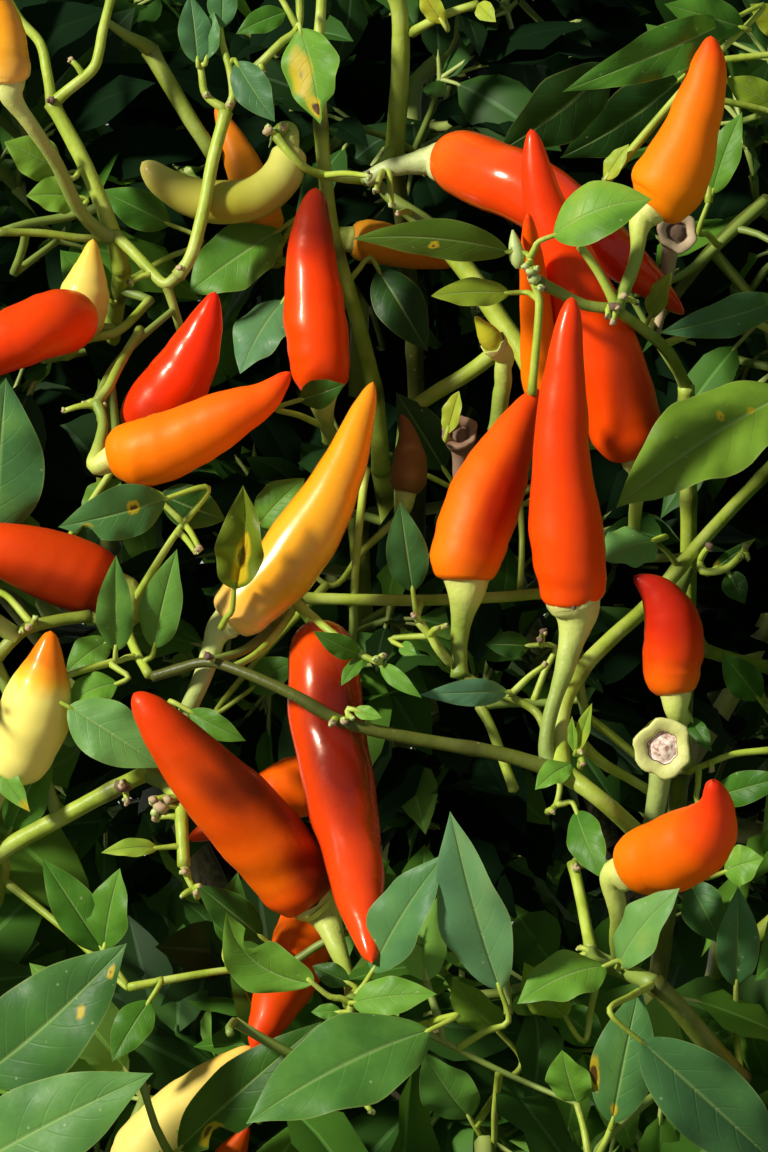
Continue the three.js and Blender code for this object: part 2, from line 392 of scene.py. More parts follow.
def ball(pile, centre, radius, mat=0, seed=0, squeeze=(1, 1, 1), rings=5, sides=7, lumpy=0.25, **facts):
    """A small lumpy knob."""
    r = np.random.default_rng(seed)
    t = np.linspace(0, math.pi, rings + 1)[1:-1]
    a = np.linspace(0, 2 * math.pi, sides, endpoint=False)
    d = np.stack(
        [
            np.sin(t)[:, None] * np.cos(a),
            np.sin(t)[:, None] * np.sin(a),
            np.cos(t)[:, None] * np.ones(sides),
        ],
        -1,
    ).reshape(-1, 3)
    d = np.vstack([[0, 0, 1], d, [0, 0, -1]])
    size = radius * (1 + lumpy * r.uniform(-1, 1, len(d)))[:, None]
    points = np.asarray(centre) + d * size * np.asarray(squeeze)
    k = np.arange(sides)
    row = 1 + np.arange(rings - 2)[:, None] * sides
    quads = np.stack(
        [row + k, row + sides + k, row + sides + (k + 1) % sides, row + (k + 1) % sides], -1
    ).reshape(-1, 4)
    end = len(points) - 1
    base = 1 + (rings - 2) * sides
    tris = np.concatenate(
        [
            np.stack([np.zeros(sides, int), 1 + k, 1 + (k + 1) % sides], -1),
            np.stack([np.full(sides, end), base + (k + 1) % sides, base + k], -1),
        ]
    )
    pile.add(points, quads, tris, mat, **facts)


# ---------------------------------------------------------------- materials
def blank(name):
    m = bpy.data.materials.new(name)
    m.use_nodes = True
    t = m.node_tree
    t.nodes.clear()
    return m, t


def put(t, kind, inputs=None, **props):
    n = t.nodes.new(kind)
    for k, v in props.items():
        setattr(n, k, v)
    for k, v in (inputs or {}).items():
        if isinstance(v, bpy.types.NodeSocket):
            t.links.new(v, n.inputs[k])
        else:
            n.inputs[k].default_value = v
    return n


def ramp(t, fac, stops, smoothly="LINEAR"):
    n = put(t, "ShaderNodeValToRGB", {"Fac": fac})
    n.color_ramp.interpolation = smoothly
    els = n.color_ramp.elements
    while len(els) < len(stops):
        els.new(0.5)
    for e, (pos, colour) in zip(els, stops):
        e.position = pos
        e.color = (*colour, 1) if len(colour) == 3 else colour
    return n.outputs["Color"]


def calc(t, op, a, b=None, c=None, clamp=False):
    n = t.nodes.new("ShaderNodeMath")
    n.operation = op
    n.use_clamp = clamp
    for i, v in enumerate((a, b, c)):
        if v is None:
            continue
        if isinstance(v, bpy.types.NodeSocket):
            t.links.new(v, n.inputs[i])
        else:
            n.inputs[i].default_value = v
    return n.outputs[0]


def blend(t, fac, a, b, kind="MIX"):
    n = t.nodes.new("ShaderNodeMix")
    n.data_type = "RGBA"
    n.blend_type = kind
    for key, v in (("Factor", fac), ("A", a), ("B", b)):
        s = [x for x in n.inputs if x.name == key and x.enabled][0]
        if isinstance(v, bpy.types.NodeSocket):
            t.links.new(v, s)
        else:
            s.default_value = v if key == "Factor" else (*v, 1)
    return [x for x in n.outputs if x.enabled][0]


def fact(t, name):
    return put(t, "ShaderNodeAttribute", attribute_name=name).outputs["Fac"]


def noise(t, scale, detail=3.0, rough=0.55, distort=0.0, dims="3D"):
    where = put(t, "ShaderNodeTexCoord").outputs["Object"]
    return put(
        t,
        "ShaderNodeTexNoise",
        {
            "Vector": where,
            "Scale": scale,
            "Detail": detail,
            "Roughness": rough,
            "Distortion": distort,
        },
    ).outputs["Fac"]


def fruit_material(name, stops, rough=0.3, coat=0.35, shade=(0.5, 0.02, 0.003), dark=(0.22, 0.012, 0.003), haze=0.12):
    """Ripening from the calyx (0) to the tip (1), with a waxy skin. Where the
    tone is above 0 the skin darkens towards dark: partly skin that still
    turns, partly painted shade."""
    m, t = blank(name)
    along, turning_and_painted_shade = fact(t, "along"), fact(t, "tone")
    patch = noise(t, 95.0, 2.0, 0.5)
    fine = noise(t, 520.0, 3.0, 0.6)
    place = calc(t, "MULTIPLY_ADD", calc(t, "SUBTRACT", patch, 0.5), 0.42, along, clamp=True)
    colour = ramp(t, place, stops)
    deep = calc(t, "MULTIPLY", calc(t, "SUBTRACT", noise(t, 60.0, 1.0), 0.44, clamp=True), 2.2, clamp=True)
    colour = blend(t, calc(t, "MULTIPLY", deep, 0.35), colour, shade)
    # the tone patches: partly turning skin, partly painted shade
    much = calc(t, "MULTIPLY_ADD", calc(t, "SUBTRACT", patch, 0.5), 0.5, calc(t, "MULTIPLY", turning_and_painted_shade, 1.15), clamp=True)
    much = calc(t, "MULTIPLY", much, calc(t, "GREATER_THAN", turning_and_painted_shade, 0.01), clamp=True)
    colour = blend(t, calc(t, "MULTIPLY", much, 0.95), colour, dark)
    lumps = noise(t, 230.0, 2.0, 0.5)
    height = calc(t, "MULTIPLY_ADD", fine, 0.18, lumps)
    bump = put(t, "ShaderNodeBump", {"Height": height, "Strength": 0.35, "Distance": 0.00035})
    rough_here = calc(t, "MULTIPLY_ADD", fine, 0.16, rough - 0.08)
    b = put(
        t,
        "ShaderNodeBsdfPrincipled",
        {
            "Base Color": colour,
            "Roughness": rough_here,
            "IOR": 1.46,
            "Specular IOR Level": 0.36,
            "Coat Weight": coat,
            "Coat Roughness": haze,
            "Coat IOR": 1.45,
            "Subsurface Weight": 0.10,
            "Subsurface Radius": (1.0, 0.28, 0.08),
            "Subsurface Scale": 0.0022,
            "Specular Tint": (1.0, 0.62, 0.42, 1.0),
            "Normal": bump.outputs[0],
        },
    )
    put(t, "ShaderNodeOutputMaterial", {"Surface": b.outputs[0]})
    return m


def leaf_material(name, dark, mid, light, yellow, rough=0.45):
    """A leaf with a pale midrib, side veins, a thin pale edge and blemishes."""
    m, t = blank(name)
    lu, lv, tone, ill, warm, cool = (fact(t, n) for n in ("lu", "lv", "tone", "ill", "age", "along"))
    av = calc(t, "ABSOLUTE", lv)
    patch = noise(t, 110.0, 3.0)
    fine = noise(t, 900.0, 2.0)
    place = calc(t, "MULTIPLY_ADD", calc(t, "SUBTRACT", patch, 0.5), 0.5, tone, clamp=True)
    colour = ramp(t, place, [(0.0, dark), (0.4, mid), (0.75, light), (1.0, yellow)])
    colour = blend(t, warm, colour, (0.23, 0.25, 0.006))
    # painted reflection: a bluish tint stands in for the sky's sheen on the leaf
    colour = blend(t, cool, colour, (0.12, 0.27, 0.17))
    # side veins leave the midrib at an angle and bend towards the tip
    rib = calc(t, "MULTIPLY", lu, 7.5)
    rib = calc(t, "SUBTRACT", rib, calc(t, "MULTIPLY", av, calc(t, "MULTIPLY_ADD", av, 0.5, 1.2)))
    off = calc(t, "ABSOLUTE", calc(t, "SUBTRACT", calc(t, "FRACT", calc(t, "ADD", rib, 10.0)), 0.5))
    vein = calc(t, "SUBTRACT", 1.0, calc(t, "DIVIDE", off, 0.07), clamp=True)
    vein = calc(t, "MULTIPLY", vein, calc(t, "SUBTRACT", 1.0, av, clamp=True), clamp=True)
    main = calc(t, "SUBTRACT", 1.0, calc(t, "DIVIDE", av, 0.075), clamp=True)
    edge = calc(t, "MULTIPLY", calc(t, "SUBTRACT", av, 0.955, clamp=True), 22.0, clamp=True)
    pale = blend(t, 0.5, light, (0.62, 0.72, 0.34))
    colour = blend(t, calc(t, "MULTIPLY", vein, 0.06), colour, pale)
    colour = blend(t, calc(t, "MULTIPLY", main, 0.5), colour, (0.34, 0.5, 0.15))
    colour = blend(t, calc(t, "MULTIPLY", edge, 0.35), colour, (0.42, 0.46, 0.12))
    # yellowing round brown spots, on a leaf that is ill
    spot = noise(t, 160.0, 2.0, 0.4)
    much = calc(t, "ADD", ill, calc(t, "MULTIPLY", calc(t, "SUBTRACT", spot, 0.5), 0.8))
    sick = calc(t, "MULTIPLY", calc(t, "SUBTRACT", much, 0.3, clamp=True), 4.0, clamp=True)
    colour = blend(t, calc(t, "MULTIPLY", sick, 0.85), colour, (0.62, 0.44, 0.015))
    dead = calc(t, "MULTIPLY", calc(t, "SUBTRACT", much, 0.78, clamp=True), 7.0, clamp=True)
    colour = blend(t, dead, colour, (0.10, 0.045, 0.015))
    dots = put(
        t,
        "ShaderNodeTexVoronoi",
        {"Vector": put(t, "ShaderNodeTexCoord").outputs["Object"], "Scale": 260.0},
    ).outputs["Distance"]
    dot = calc(t, "MULTIPLY", calc(t, "SUBTRACT", 0.085, dots, clamp=True), 22.0, clamp=True)
    colour = blend(t, calc(t, "MULTIPLY", dot, 0.35), colour, (0.55, 0.62, 0.34))
    height = calc(t, "ADD", calc(t, "MULTIPLY", fine, 0.25), calc(t, "MULTIPLY", patch, 0.5))
    height = calc(t, "SUBTRACT", height, calc(t, "MULTIPLY", calc(t, "MULTIPLY_ADD", vein, 0.4, main), 0.8))
    bump = put(t, "ShaderNodeBump", {"Height": height, "Strength": 0.45, "Distance": 0.0004})
    b = put(
        t,
        "ShaderNodeBsdfPrincipled",
        {
            "Base Color": colour,
            "Roughness": calc(t, "MULTIPLY_ADD", fine, 0.2, rough - 0.1),
            "IOR": 1.45,
            "Specular IOR Level": 0.23,
            "Normal": bump.outputs[0],
        },
    )
    through = put(
        t,
        "ShaderNodeBsdfTranslucent",
        {"Color": blend(t, 0.5, colour, (0.35, 0.6, 0.03)), "Normal": bump.outputs[0]},
    )
    mix = put(t, "ShaderNodeMixShader", {0: 0.22, 1: b.outputs[0], 2: through.outputs[0]})
    put(t, "ShaderNodeOutputMaterial", {"Surface": mix.outputs[0]})
    return m


def plain_leaf(name, colour, rough=0.5, through=0.2, gloss=0.22):
    """A plain tone for joined foliage."""
    m, t = blank(name)
    b = put(
        t,
        "ShaderNodeBsdfPrincipled",
        {"Base Color": (*colour, 1), "Roughness": rough, "IOR": 1.45, "Specular IOR Level": gloss},
    )
    lit = tuple(min(1.0, 1.6 * c + 0.25 * g * y) for c, g, y in zip(colour, (colour[1],) * 3, (1.0, 1.2, 0.0)))
    s = put(t, "ShaderNodeBsdfTranslucent", {"Color": (*lit, 1)})
    mix = put(t, "ShaderNodeMixShader", {0: through, 1: b.outputs[0], 2: s.outputs[0]})
    put(t, "ShaderNodeOutputMaterial", {"Surface": mix.outputs[0]})
    return m


def plain(name, colour, rough=0.5, coat=0.0):
    m, t = blank(name)
    b = put(
        t,
        "ShaderNodeBsdfPrincipled",
        {"Base Color": (*colour, 1), "Roughness": rough, "Coat Weight": coat, "Coat Roughness": 0.15},
    )
    put(t, "ShaderNodeOutputMaterial", {"Surface": b.outputs[0]})
    return m


def stem_material(name):
    """Green skin that browns on old wood (age 1) and darkens to near black with tone: the stem's own colour at the
    nodes, painted shade where a whole stretch is set dark.
    """
    m, t = blank(name)
    age, tone = fact(t, "age"), fact(t, "tone")
    patch = noise(t, 140.0, 3.0)
    fine = noise(t, 700.0, 4.0, 0.65)
    # streaks that run along a mostly upright stem
    where = put(t, "ShaderNodeTexCoord").outputs["Object"]
    tall = put(t, "ShaderNodeMapping", {"Vector": where, "Scale": (900.0, 900.0, 60.0)})
    streak = put(
        t, "ShaderNodeTexNoise", {"Vector": tall.outputs[0], "Scale": 1.0, "Detail": 3.0}
    ).outputs["Fac"]
    green = ramp(
        t, patch, [(0.25, (0.24, 0.34, 0.025)), (0.5, (0.41, 0.52, 0.055)), (0.8, (0.58, 0.68, 0.17))]
    )
    # tone darkens the green to near black: node colour at the swellings, painted shade where whole stems are set dark
    green = blend(t, calc(t, "MULTIPLY", tone, 0.9, clamp=True), green, (0.036, 0.036, 0.007))
    wood = ramp(
        t, streak, [(0.3, (0.075, 0.055, 0.032)), (0.5, (0.2, 0.155, 0.09)), (0.72, (0.36, 0.3, 0.19))]
    )
    wood = blend(t, calc(t, "MULTIPLY", patch, 0.45), wood, (0.16, 0.17, 0.06))
    place = calc(t, "MULTIPLY_ADD", calc(t, "SUBTRACT", patch, 0.5), 0.6, age, clamp=True)
    old = calc(t, "MULTIPLY", calc(t, "SUBTRACT", place, 0.35, clamp=True), 2.6, clamp=True)
    colour = blend(t, old, green, wood)
    speck = put(
        t, "ShaderNodeTexVoronoi", {"Vector": where, "Scale": 420.0}
    ).outputs["Distance"]
    dot = calc(t, "MULTIPLY", calc(t, "SUBTRACT", 0.16, speck, clamp=True), 9.0, clamp=True)
    colour = blend(t, calc(t, "MULTIPLY", dot, 0.3), colour, (0.5, 0.46, 0.3))
    height = calc(
        t, "ADD", calc(t, "MULTIPLY", streak, calc(t, "MULTIPLY_ADD", old, 0.9, 0.2)), calc(t, "MULTIPLY", fine, 0.3)
    )
    bump = put(t, "ShaderNodeBump", {"Height": height, "Strength": 0.7, "Distance": 0.0005})
    b = put(
        t,
        "ShaderNodeBsdfPrincipled",
        {
            "Base Color": colour,
            "Roughness": calc(t, "MULTIPLY_ADD", old, 0.35, 0.42),
            "IOR": 1.45,
            "Specular IOR Level": 0.34,
            "Normal": bump.outputs[0],
        },
    )
    put(t, "ShaderNodeOutputMaterial", {"Surface": b.outputs[0]})
    return m


def stalk_material(name):
    """Fruit stalk and calyx: fresh green, paler and rougher at the rim."""
    m, t = blank(name)
    along, tone = fact(t, "along"), fact(t, "tone")
    patch = noise(t, 260.0, 3.0)
    fine = noise(t, 1100.0, 3.0)
    place = calc(t, "MULTIPLY_ADD", calc(t, "SUBTRACT", patch, 0.5), 0.35, along, clamp=True)
    colour = ramp(
        t,
        place,
        [
            (0.0, (0.17, 0.26, 0.02)),
            (0.45, (0.27, 0.37, 0.035)),
            (0.85, (0.55, 0.62, 0.12)),
            (1.0, (0.60, 0.61, 0.16)),
        ],
    )
    colour = blend(t, tone, colour, (0.62, 0.66, 0.34))
    dark = calc(t, "MULTIPLY", calc(t, "SUBTRACT", fine, 0.6, clamp=True), 3.0, clamp=True)
    colour = blend(t, calc(t, "MULTIPLY", dark, 0.4), colour, (0.16, 0.17, 0.04))
    bump = put(
        t,
        "ShaderNodeBump",
        {"Height": calc(t, "ADD", patch, calc(t, "MULTIPLY", fine, 0.4)), "Strength": 0.6, "Distance": 0.0004},
    )
    b = put(
        t,
        "ShaderNodeBsdfPrincipled",
        {"Base Color": colour, "Roughness": 0.5, "IOR": 1.45, "Normal": bump.outputs[0]},
    )
    put(t, "ShaderNodeOutputMaterial", {"Surface": b.outputs[0]})
    return m


STEM = stem_material("stem_skin")
STALK = stalk_material("fruit_stalk")
SCAR = plain("flower_scar", (0.45, 0.34, 0.18), 0.7)
SCAR_DARK = plain("dried_scar", (0.14, 0.085, 0.05), 0.8)
BUD = plain("young_bud", (0.42, 0.52, 0.16), 0.5)

FRUIT = {
    "red_orange": fruit_material(
        "fruit_red_orange",
        [(0.0, (0.93, 0.080, 0.001)), (0.45, (0.92, 0.052, 0.001)), (1.0, (0.86, 0.042, 0.003))],
        shade=(0.66, 0.012, 0.001),
        coat=0.12,
        rough=0.36,
    ),
    "orange_red": fruit_material(
        "fruit_orange_red",
        [(0.0, (0.72, 0.055, 0.001)), (0.22, (0.97, 0.15, 0.001)), (0.45, (0.92, 0.10, 0.001)), (0.75, (0.76, 0.062, 0.001)), (1.0, (0.76, 0.040, 0.001))],
        shade=(0.66, 0.030, 0.001),
        dark=(0.155, 0.014, 0.001),
        coat=0.04,
        rough=0.44,
    ),
    "red_dull": fruit_material(
        "fruit_red_dull",
        [(0.0, (0.66, 0.040, 0.001)), (0.4, (0.78, 0.060, 0.001)), (1.0, (0.84, 0.050, 0.001))],
        shade=(0.62, 0.026, 0.001),
        dark=(0.24, 0.014, 0.001),
        coat=0.0,
        rough=0.5,
    ),
    "orange_deep": fruit_material(
        "fruit_orange_deep",
        [(0.0, (0.95, 0.20, 0.001)), (0.5, (0.92, 0.12, 0.001)), (0.85, (0.90, 0.075, 0.001)), (1.0, (0.86, 0.05, 0.002))],
        rough=0.5,
        coat=0.0,
        shade=(0.84, 0.06, 0.001),
        dark=(0.42, 0.018, 0.001),
    ),
    "red_top": fruit_material(
        "fruit_red_top",
        [(0.0, (0.92, 0.17, 0.002)), (0.26, (0.78, 0.052, 0.001)), (0.55, (0.60, 0.022, 0.002)), (1.0, (0.42, 0.010, 0.005))],
        shade=(0.5, 0.012, 0.002),
        coat=0.15,
        rough=0.38,
    ),
    "red_dark": fruit_material(
        "fruit_red_dark",
        [(0.0, (0.86, 0.085, 0.003)), (0.3, (0.84, 0.060, 0.003)), (1.0, (0.86, 0.060, 0.004))],
        rough=0.26,
        coat=0.45,
        shade=(0.6, 0.02, 0.003),
        dark=(0.155, 0.008, 0.003),
    ),
    "orange": fruit_material(
        "fruit_orange",
        [(0.0, (0.99, 0.25, 0.001)), (0.5, (0.99, 0.165, 0.001)), (0.85, (0.98, 0.10, 0.001)), (1.0, (0.95, 0.05, 0.002))],
        rough=0.46,
        coat=0.0,
        shade=(0.93, 0.075, 0.001),
        dark=(0.46, 0.020, 0.001),
    ),
    "orange_dull": fruit_material(
        "fruit_orange_dull",
        [(0.0, (0.88, 0.36, 0.02)), (0.6, (0.88, 0.27, 0.012)), (1.0, (0.80, 0.20, 0.01))],
        rough=0.46,
        coat=0.0,
        shade=(0.66, 0.12, 0.006),
    ),
    "red": fruit_material(
        "fruit_red",
        [(0.0, (0.92, 0.040, 0.002)), (0.5, (0.96, 0.032, 0.001)), (1.0, (0.92, 0.022, 0.002))],
        shade=(0.68, 0.008, 0.002),
        coat=0.25,
    ),
    "red_gloss": fruit_material(
        "fruit_red_gloss",
        [(0.0, (0.96, 0.13, 0.006)), (0.3, (0.90, 0.06, 0.004)), (0.7, (0.66, 0.022, 0.004)), (1.0, (0.84, 0.05, 0.006))],
        rough=0.24,
        coat=0.8,
        shade=(0.62, 0.02, 0.004),
    ),
    "yellow_orange": fruit_material(
        "fruit_yellow_orange",
        [(0.0, (0.97, 0.60, 0.13)), (0.22, (0.98, 0.46, 0.022)), (0.7, (0.98, 0.36, 0.004)), (1.0, (0.96, 0.27, 0.004))],
        rough=0.27,
        coat=1.0,
        haze=0.24,
        shade=(0.92, 0.27, 0.003),
        dark=(0.44, 0.12, 0.002),
    ),
    "yellow": fruit_material(
        "fruit_yellow",
        [(0.0, (0.95, 0.84, 0.20)), (0.62, (0.97, 0.82, 0.18)), (0.74, (0.97, 0.50, 0.03)), (0.86, (0.97, 0.20, 0.002))],
        rough=0.40,
        coat=0.12,
        shade=(0.90, 0.66, 0.09),
    ),
    "pale": fruit_material(
        "fruit_pale",
        [(0.0, (0.74, 0.66, 0.18)), (0.6, (0.80, 0.62, 0.14)), (1.0, (0.85, 0.50, 0.08))],
        rough=0.5,
        coat=0.0,
        shade=(0.62, 0.5, 0.1),
    ),
    "orange_bright": fruit_material(
        "fruit_orange_bright",
        [(0.0, (0.98, 0.20, 0.001)), (0.5, (0.96, 0.13, 0.001)), (0.8, (0.88, 0.055, 0.002)), (1.0, (0.80, 0.03, 0.004))],
        rough=0.46,
        coat=0.0,
        shade=(0.88, 0.06, 0.001),
    ),
    "orange_clear": fruit_material(
        "fruit_orange_clear",
        [(0.0, (0.99, 0.25, 0.001)), (0.5, (0.99, 0.20, 0.001)), (0.84, (0.97, 0.14, 0.001)), (1.0, (0.90, 0.05, 0.003))],
        rough=0.52,
        coat=0.0,
        shade=(0.94, 0.10, 0.001),
    ),
    "yellow_plain": fruit_material(
        "fruit_yellow_plain",
        [(0.0, (0.80, 0.62, 0.12)), (0.6, (0.84, 0.66, 0.13)), (1.0, (0.88, 0.56, 0.06))],
        rough=0.4,
        coat=0.1,
        shade=(0.72, 0.5, 0.05),
    ),
    "bud_green": fruit_material(
        "fruit_bud_green",
        [(0.0, (0.36, 0.40, 0.03)), (0.5, (0.48, 0.46, 0.02)), (1.0, (0.40, 0.40, 0.02))],
        rough=0.4,
        coat=0.1,
        shade=(0.3, 0.32, 0.02),
    ),
    "brown": fruit_material(
        "fruit_brown",
        [(0.0, (0.30, 0.13, 0.03)), (1.0, (0.22, 0.08, 0.02))],
        rough=0.6,
        coat=0.0,
        shade=(0.12, 0.05, 0.02),
    ),
    # painted shade: the olive fruit's colours are kept darker to stand in for the shade it hangs in
    "olive": fruit_material(
        "fruit_olive",
        [(0.0, (0.56, 0.55, 0.13)), (0.5, (0.38, 0.37, 0.03)), (1.0, (0.58, 0.52, 0.12))],
        rough=0.4,
        coat=0.1,
        shade=(0.26, 0.19, 0.015),
    ),
}

LEAF = leaf_material(
    "leaf_front",
    (0.016, 0.056, 0.009),
    (0.056, 0.180, 0.014),
    (0.18, 0.39, 0.040),
    (0.46, 0.52, 0.04),
)
TONES = [
    ("leaf_deep", (0.014, 0.044, 0.008)),
    ("leaf_dark", (0.034, 0.100, 0.014)),
    ("leaf_green", (0.064, 0.178, 0.018)),
    ("leaf_fresh", (0.115, 0.275, 0.026)),
    ("leaf_light", (0.18, 0.37, 0.055)),
    ("leaf_yellow", (0.46, 0.46, 0.04)),
    ("leaf_shade", (0.004, 0.015, 0.004)),
]
FOLIAGE = [plain_leaf(n, c) for n, c in TONES[:6]]
FOLIAGE.append(plain_leaf(*TONES[6], rough=0.8, through=0.04, gloss=0.05))
RIBS = [
    plain_leaf("rib_" + n[5:], tuple(min(1, x * 1.4 + 0.02) for x in c), through=0.1)
    for n, c in TONES[:6]
]
RIBS.append(plain_leaf("rib_shade", (0.006, 0.019, 0.005), rough=0.8, through=0.04, gloss=0.05))
TWIG = [
    plain("twig_green", (0.20, 0.28, 0.045), 0.5),
    plain("twig_light", (0.34, 0.42, 0.10), 0.5),
    plain("twig_brown", (0.12, 0.085, 0.045), 0.6),
]

# ------------------------------------------------------------ the skeleton
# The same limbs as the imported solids: name, parent, share of the parent's
# length, tip, bow of the middle, radii at foot and tip.
STEM_HEIGHT, STEM_LEAN, STEM_RADIUS = 96.0, (8.0, -6.0), (7.2, 5.6)
FLARE, FLARE_HEIGHT = 6.4, 11.0
tubes = []  # paths of the stems that show in front
SHOWN = ("limb_right_upper", "limb_right_arm", "limb_cross", "limb_left_cross", "limb_left_top",
         "limb_right_top", "limb_centre_upper")
LIMBS = [
    ("bough_front_right", "stem", 0.95, (54, -56, 206), (6, -6, -7), (4.5, 3.6)),
    ("bough_front_left", "stem", 0.84, (-60, -58, 194), (-7, -6, -8), (4.3, 3.4)),
    ("bough_back_left", "stem", 1, (-56, 54, 212), (-5, 6, -8), (4.0, 3.2)),
    ("bough_back_right", "stem", 0.9, (68, 50, 200), (8, 5, -8), (4.1, 3.2)),
    ("bough_centre", "stem", 1, (2, 2, 232), (-3, 3, 2), (4.3, 3.3)),
    ("limb_right_rise", "bough_front_right", 1, (64, -88, 286), (5, -2, -3), (3.1, 2.6)),
    ("limb_right_upper", "limb_right_rise", 1, (29.6, -101.3, 334.6), (2, -2, 2), (2.5, 2.1)),
    ("limb_right_arm", "limb_right_upper", 1, (86, -17, 353), (-2, -1, 3), (1.9, 1.3)),
    ("limb_cross", "limb_right_upper", 0.97, (-47.3, -84.5, 342.1), (0, -6.5, 3.5), (1.6, 1.0)),
    ("limb_right_top", "bough_front_right", 0.96, (58, -14, 352), (4, 3, -4), (2.1, 1.5)),
    ("limb_right_low", "bough_front_right", 0.8, (98, -116, 226), (4, -4, -6), (2.6, 1.7)),
    ("limb_right_front_crown", "limb_right_rise", 0.72, (92, -80, 306), (3, 3, -3), (1.9, 1.5)),
    ("limb_right_skirt", "bough_front_right", 0.5, (92, -44, 158), (4, 2, -6), (2.3, 1.6)),
    ("limb_left_rise", "bough_front_left", 1, (-92, -104, 290), (-5, -3, -4), (3.0, 2.3)),
    ("limb_left_front_crown", "limb_left_rise", 0.78, (-96, -80, 310), (-3, 3, -3), (1.8, 1.4)),
    ("limb_left_cross", "limb_left_rise", 1, (-39.6, -92, 330), (2, -2.5, 3), (2.0, 1.4)),
    ("limb_left_low", "bough_front_left", 0.85, (-130, -40, 242), (-4, -3, -6), (2.6, 1.7)),
    ("limb_left_skirt", "bough_front_left", 0.55, (-92, -36, 158), (-4, 2, -6), (2.3, 1.6)),
    ("limb_front_low", "bough_front_left", 0.62, (0, -134, 264), (6, -9, -8), (2.6, 1.7)),
    ("limb_front_skirt", "limb_front_low", 0.3, (6, -108, 184), (3, -4, -6), (1.9, 1.4)),
    ("limb_left_top", "bough_back_left", 1, (-50.5, 4, 366), (-5, 3, 3), (2.4, 1.7)),
    ("limb_left_crown", "bough_back_left", 0.94, (-86, 30, 316), (-5, -2, -4), (2.4, 1.7)),
    ("limb_back_left_out", "bough_back_left", 0.88, (-104, 90, 250), (-4, 4, -6), (2.6, 1.7)),
    ("limb_back_left_skirt", "bough_back_left", 0.45, (-52, 82, 160), (-2, 5, -5), (2.3, 1.6)),
    ("limb_back_right_out", "bough_back_right", 1, (104, 96, 256), (4, 3, -4), (2.8, 1.8)),
    ("limb_right_side", "bough_back_right", 0.86, (138, -8, 244), (5, -3, -7), (2.6, 1.7)),
    ("limb_right_crown", "bough_back_right", 0.95, (92, 32, 318), (5, -2, -4), (2.4, 1.7)),
    ("limb_back_out", "bough_back_right", 0.72, (14, 134, 256), (-3, 9, -4), (2.5, 1.7)),
    ("limb_back_right_skirt", "bough_back_right", 0.42, (66, 80, 148), (2, 5, -5), (2.3, 1.6)),
    ("limb_centre_rise", "bough_centre", 1, (-0.5, 3, 318), (3, -2, 0), (2.5, 1.9)),
    ("limb_centre_upper", "limb_centre_rise", 1, (-12.5, 26, 393), (1, -3, 0), (1.7, 1.3)),
    ("limb_centre_back", "bough_centre", 0.97, (2, 31, 374), (5, 6, 0), (2.0, 1.6)),
    ("limb_back_crown", "bough_centre", 0.9, (-4, 66, 330), (-4, 6, -6), (2.4, 1.8)),
]
# Five limbs show well in front, and follow what shows there more closely than
# their solids do.
FRONT_LIMBS = {
    "limb_right_upper": [(700, 905, 34), (668, 866, 14), (635, 831, 1), (600, 799, -5), (560, 770, -1)],
    "limb_right_arm": [(562, 712, 6), (580, 672, 12), (612, 638, 17), (648, 605, 22), (694, 550, 30), (732, 508, 36), (768, 470, 42)],
    "limb_cross": [(505, 755, -1), (457, 746, -2), (400, 736, -3), (340, 721, -4), (294, 695, -3), (245, 673, 0), (208, 662, 3), (175, 670, 5), (152, 677, 6)],
    "limb_centre_upper": [(381, 462, 89), (376, 400, 84), (364, 345, 77), (350, 295, 71), (334, 240, 68), (324, 165, 64), (319, 94, 61)],
    "limb_left_cross": [(-10, 862, 17), (10, 846, 15), (60, 818, 12), (110, 791, 9), (124, 784, 8), (146, 773, 9)],
}


FRONT_AGE = {"limb_right_upper": 0.0, "limb_right_arm": 0.2, "limb_cross": 0.12, "limb_left_cross": 0.05, "limb_centre_upper": 0.0}


def bezier(foot, tip, bow):
    foot, tip = np.asarray(foot, float), np.asarray(tip, float)
    mid = (foot + tip) / 2 + 2 * np.asarray(bow, float)
    t = np.linspace(0, 1, 81)[:, None]
    fine = (1 - t) ** 2 * foot + 2 * t * (1 - t) * mid + t**2 * tip
    return even(fine, 60)


def even(path, n):
    """The same line with n + 1 points spread evenly along it."""
    s = lengths(path)
    want = np.linspace(0, s[-1], n + 1)
    return np.stack([np.interp(want, s, path[:, i]) for i in range(3)], -1)


class Skeleton:
    """Every stem so far, to find the nearest place where a twig may start."""

    def __init__(self):
        self.points, self.radii = np.zeros((0, 3)), np.zeros(0)

    def add(self, path, radii):
        self.points = np.vstack([self.points, path])
        self.radii = np.concatenate([self.radii, np.broadcast_to(radii, (len(path),))])

    def nearest(self, p, behind=0.0, below=0.4):
        """The place that a twig ending at p would grow from."""
        d = self.points - p
        far = np.linalg.norm(d, axis=1)
        cost = far + below * np.maximum(0, d[:, 2]) + behind * np.maximum(0, -(d @ FORWARD))
        i = int(np.argmin(cost))
        return self.points[i], self.radii[i], far[i]


SK = Skeleton()
curves = {}
stem_t = np.linspace(0, 1, 81)[:, None]
lean = np.array([STEM_LEAN[0], STEM_LEAN[1], STEM_HEIGHT])
curves["stem"] = even(
    2 * stem_t * (1 - stem_t) * np.array([0, 0, STEM_HEIGHT * 0.55]) + stem_t**2 * lean, 60
)
SK.add(curves["stem"][20:], STEM_RADIUS[1])
for name, parent, share, tip, bow, radii in LIMBS:
    foot = curves[parent][int(round(share * 60))]
    curves[name] = bezier(foot, tip, bow)


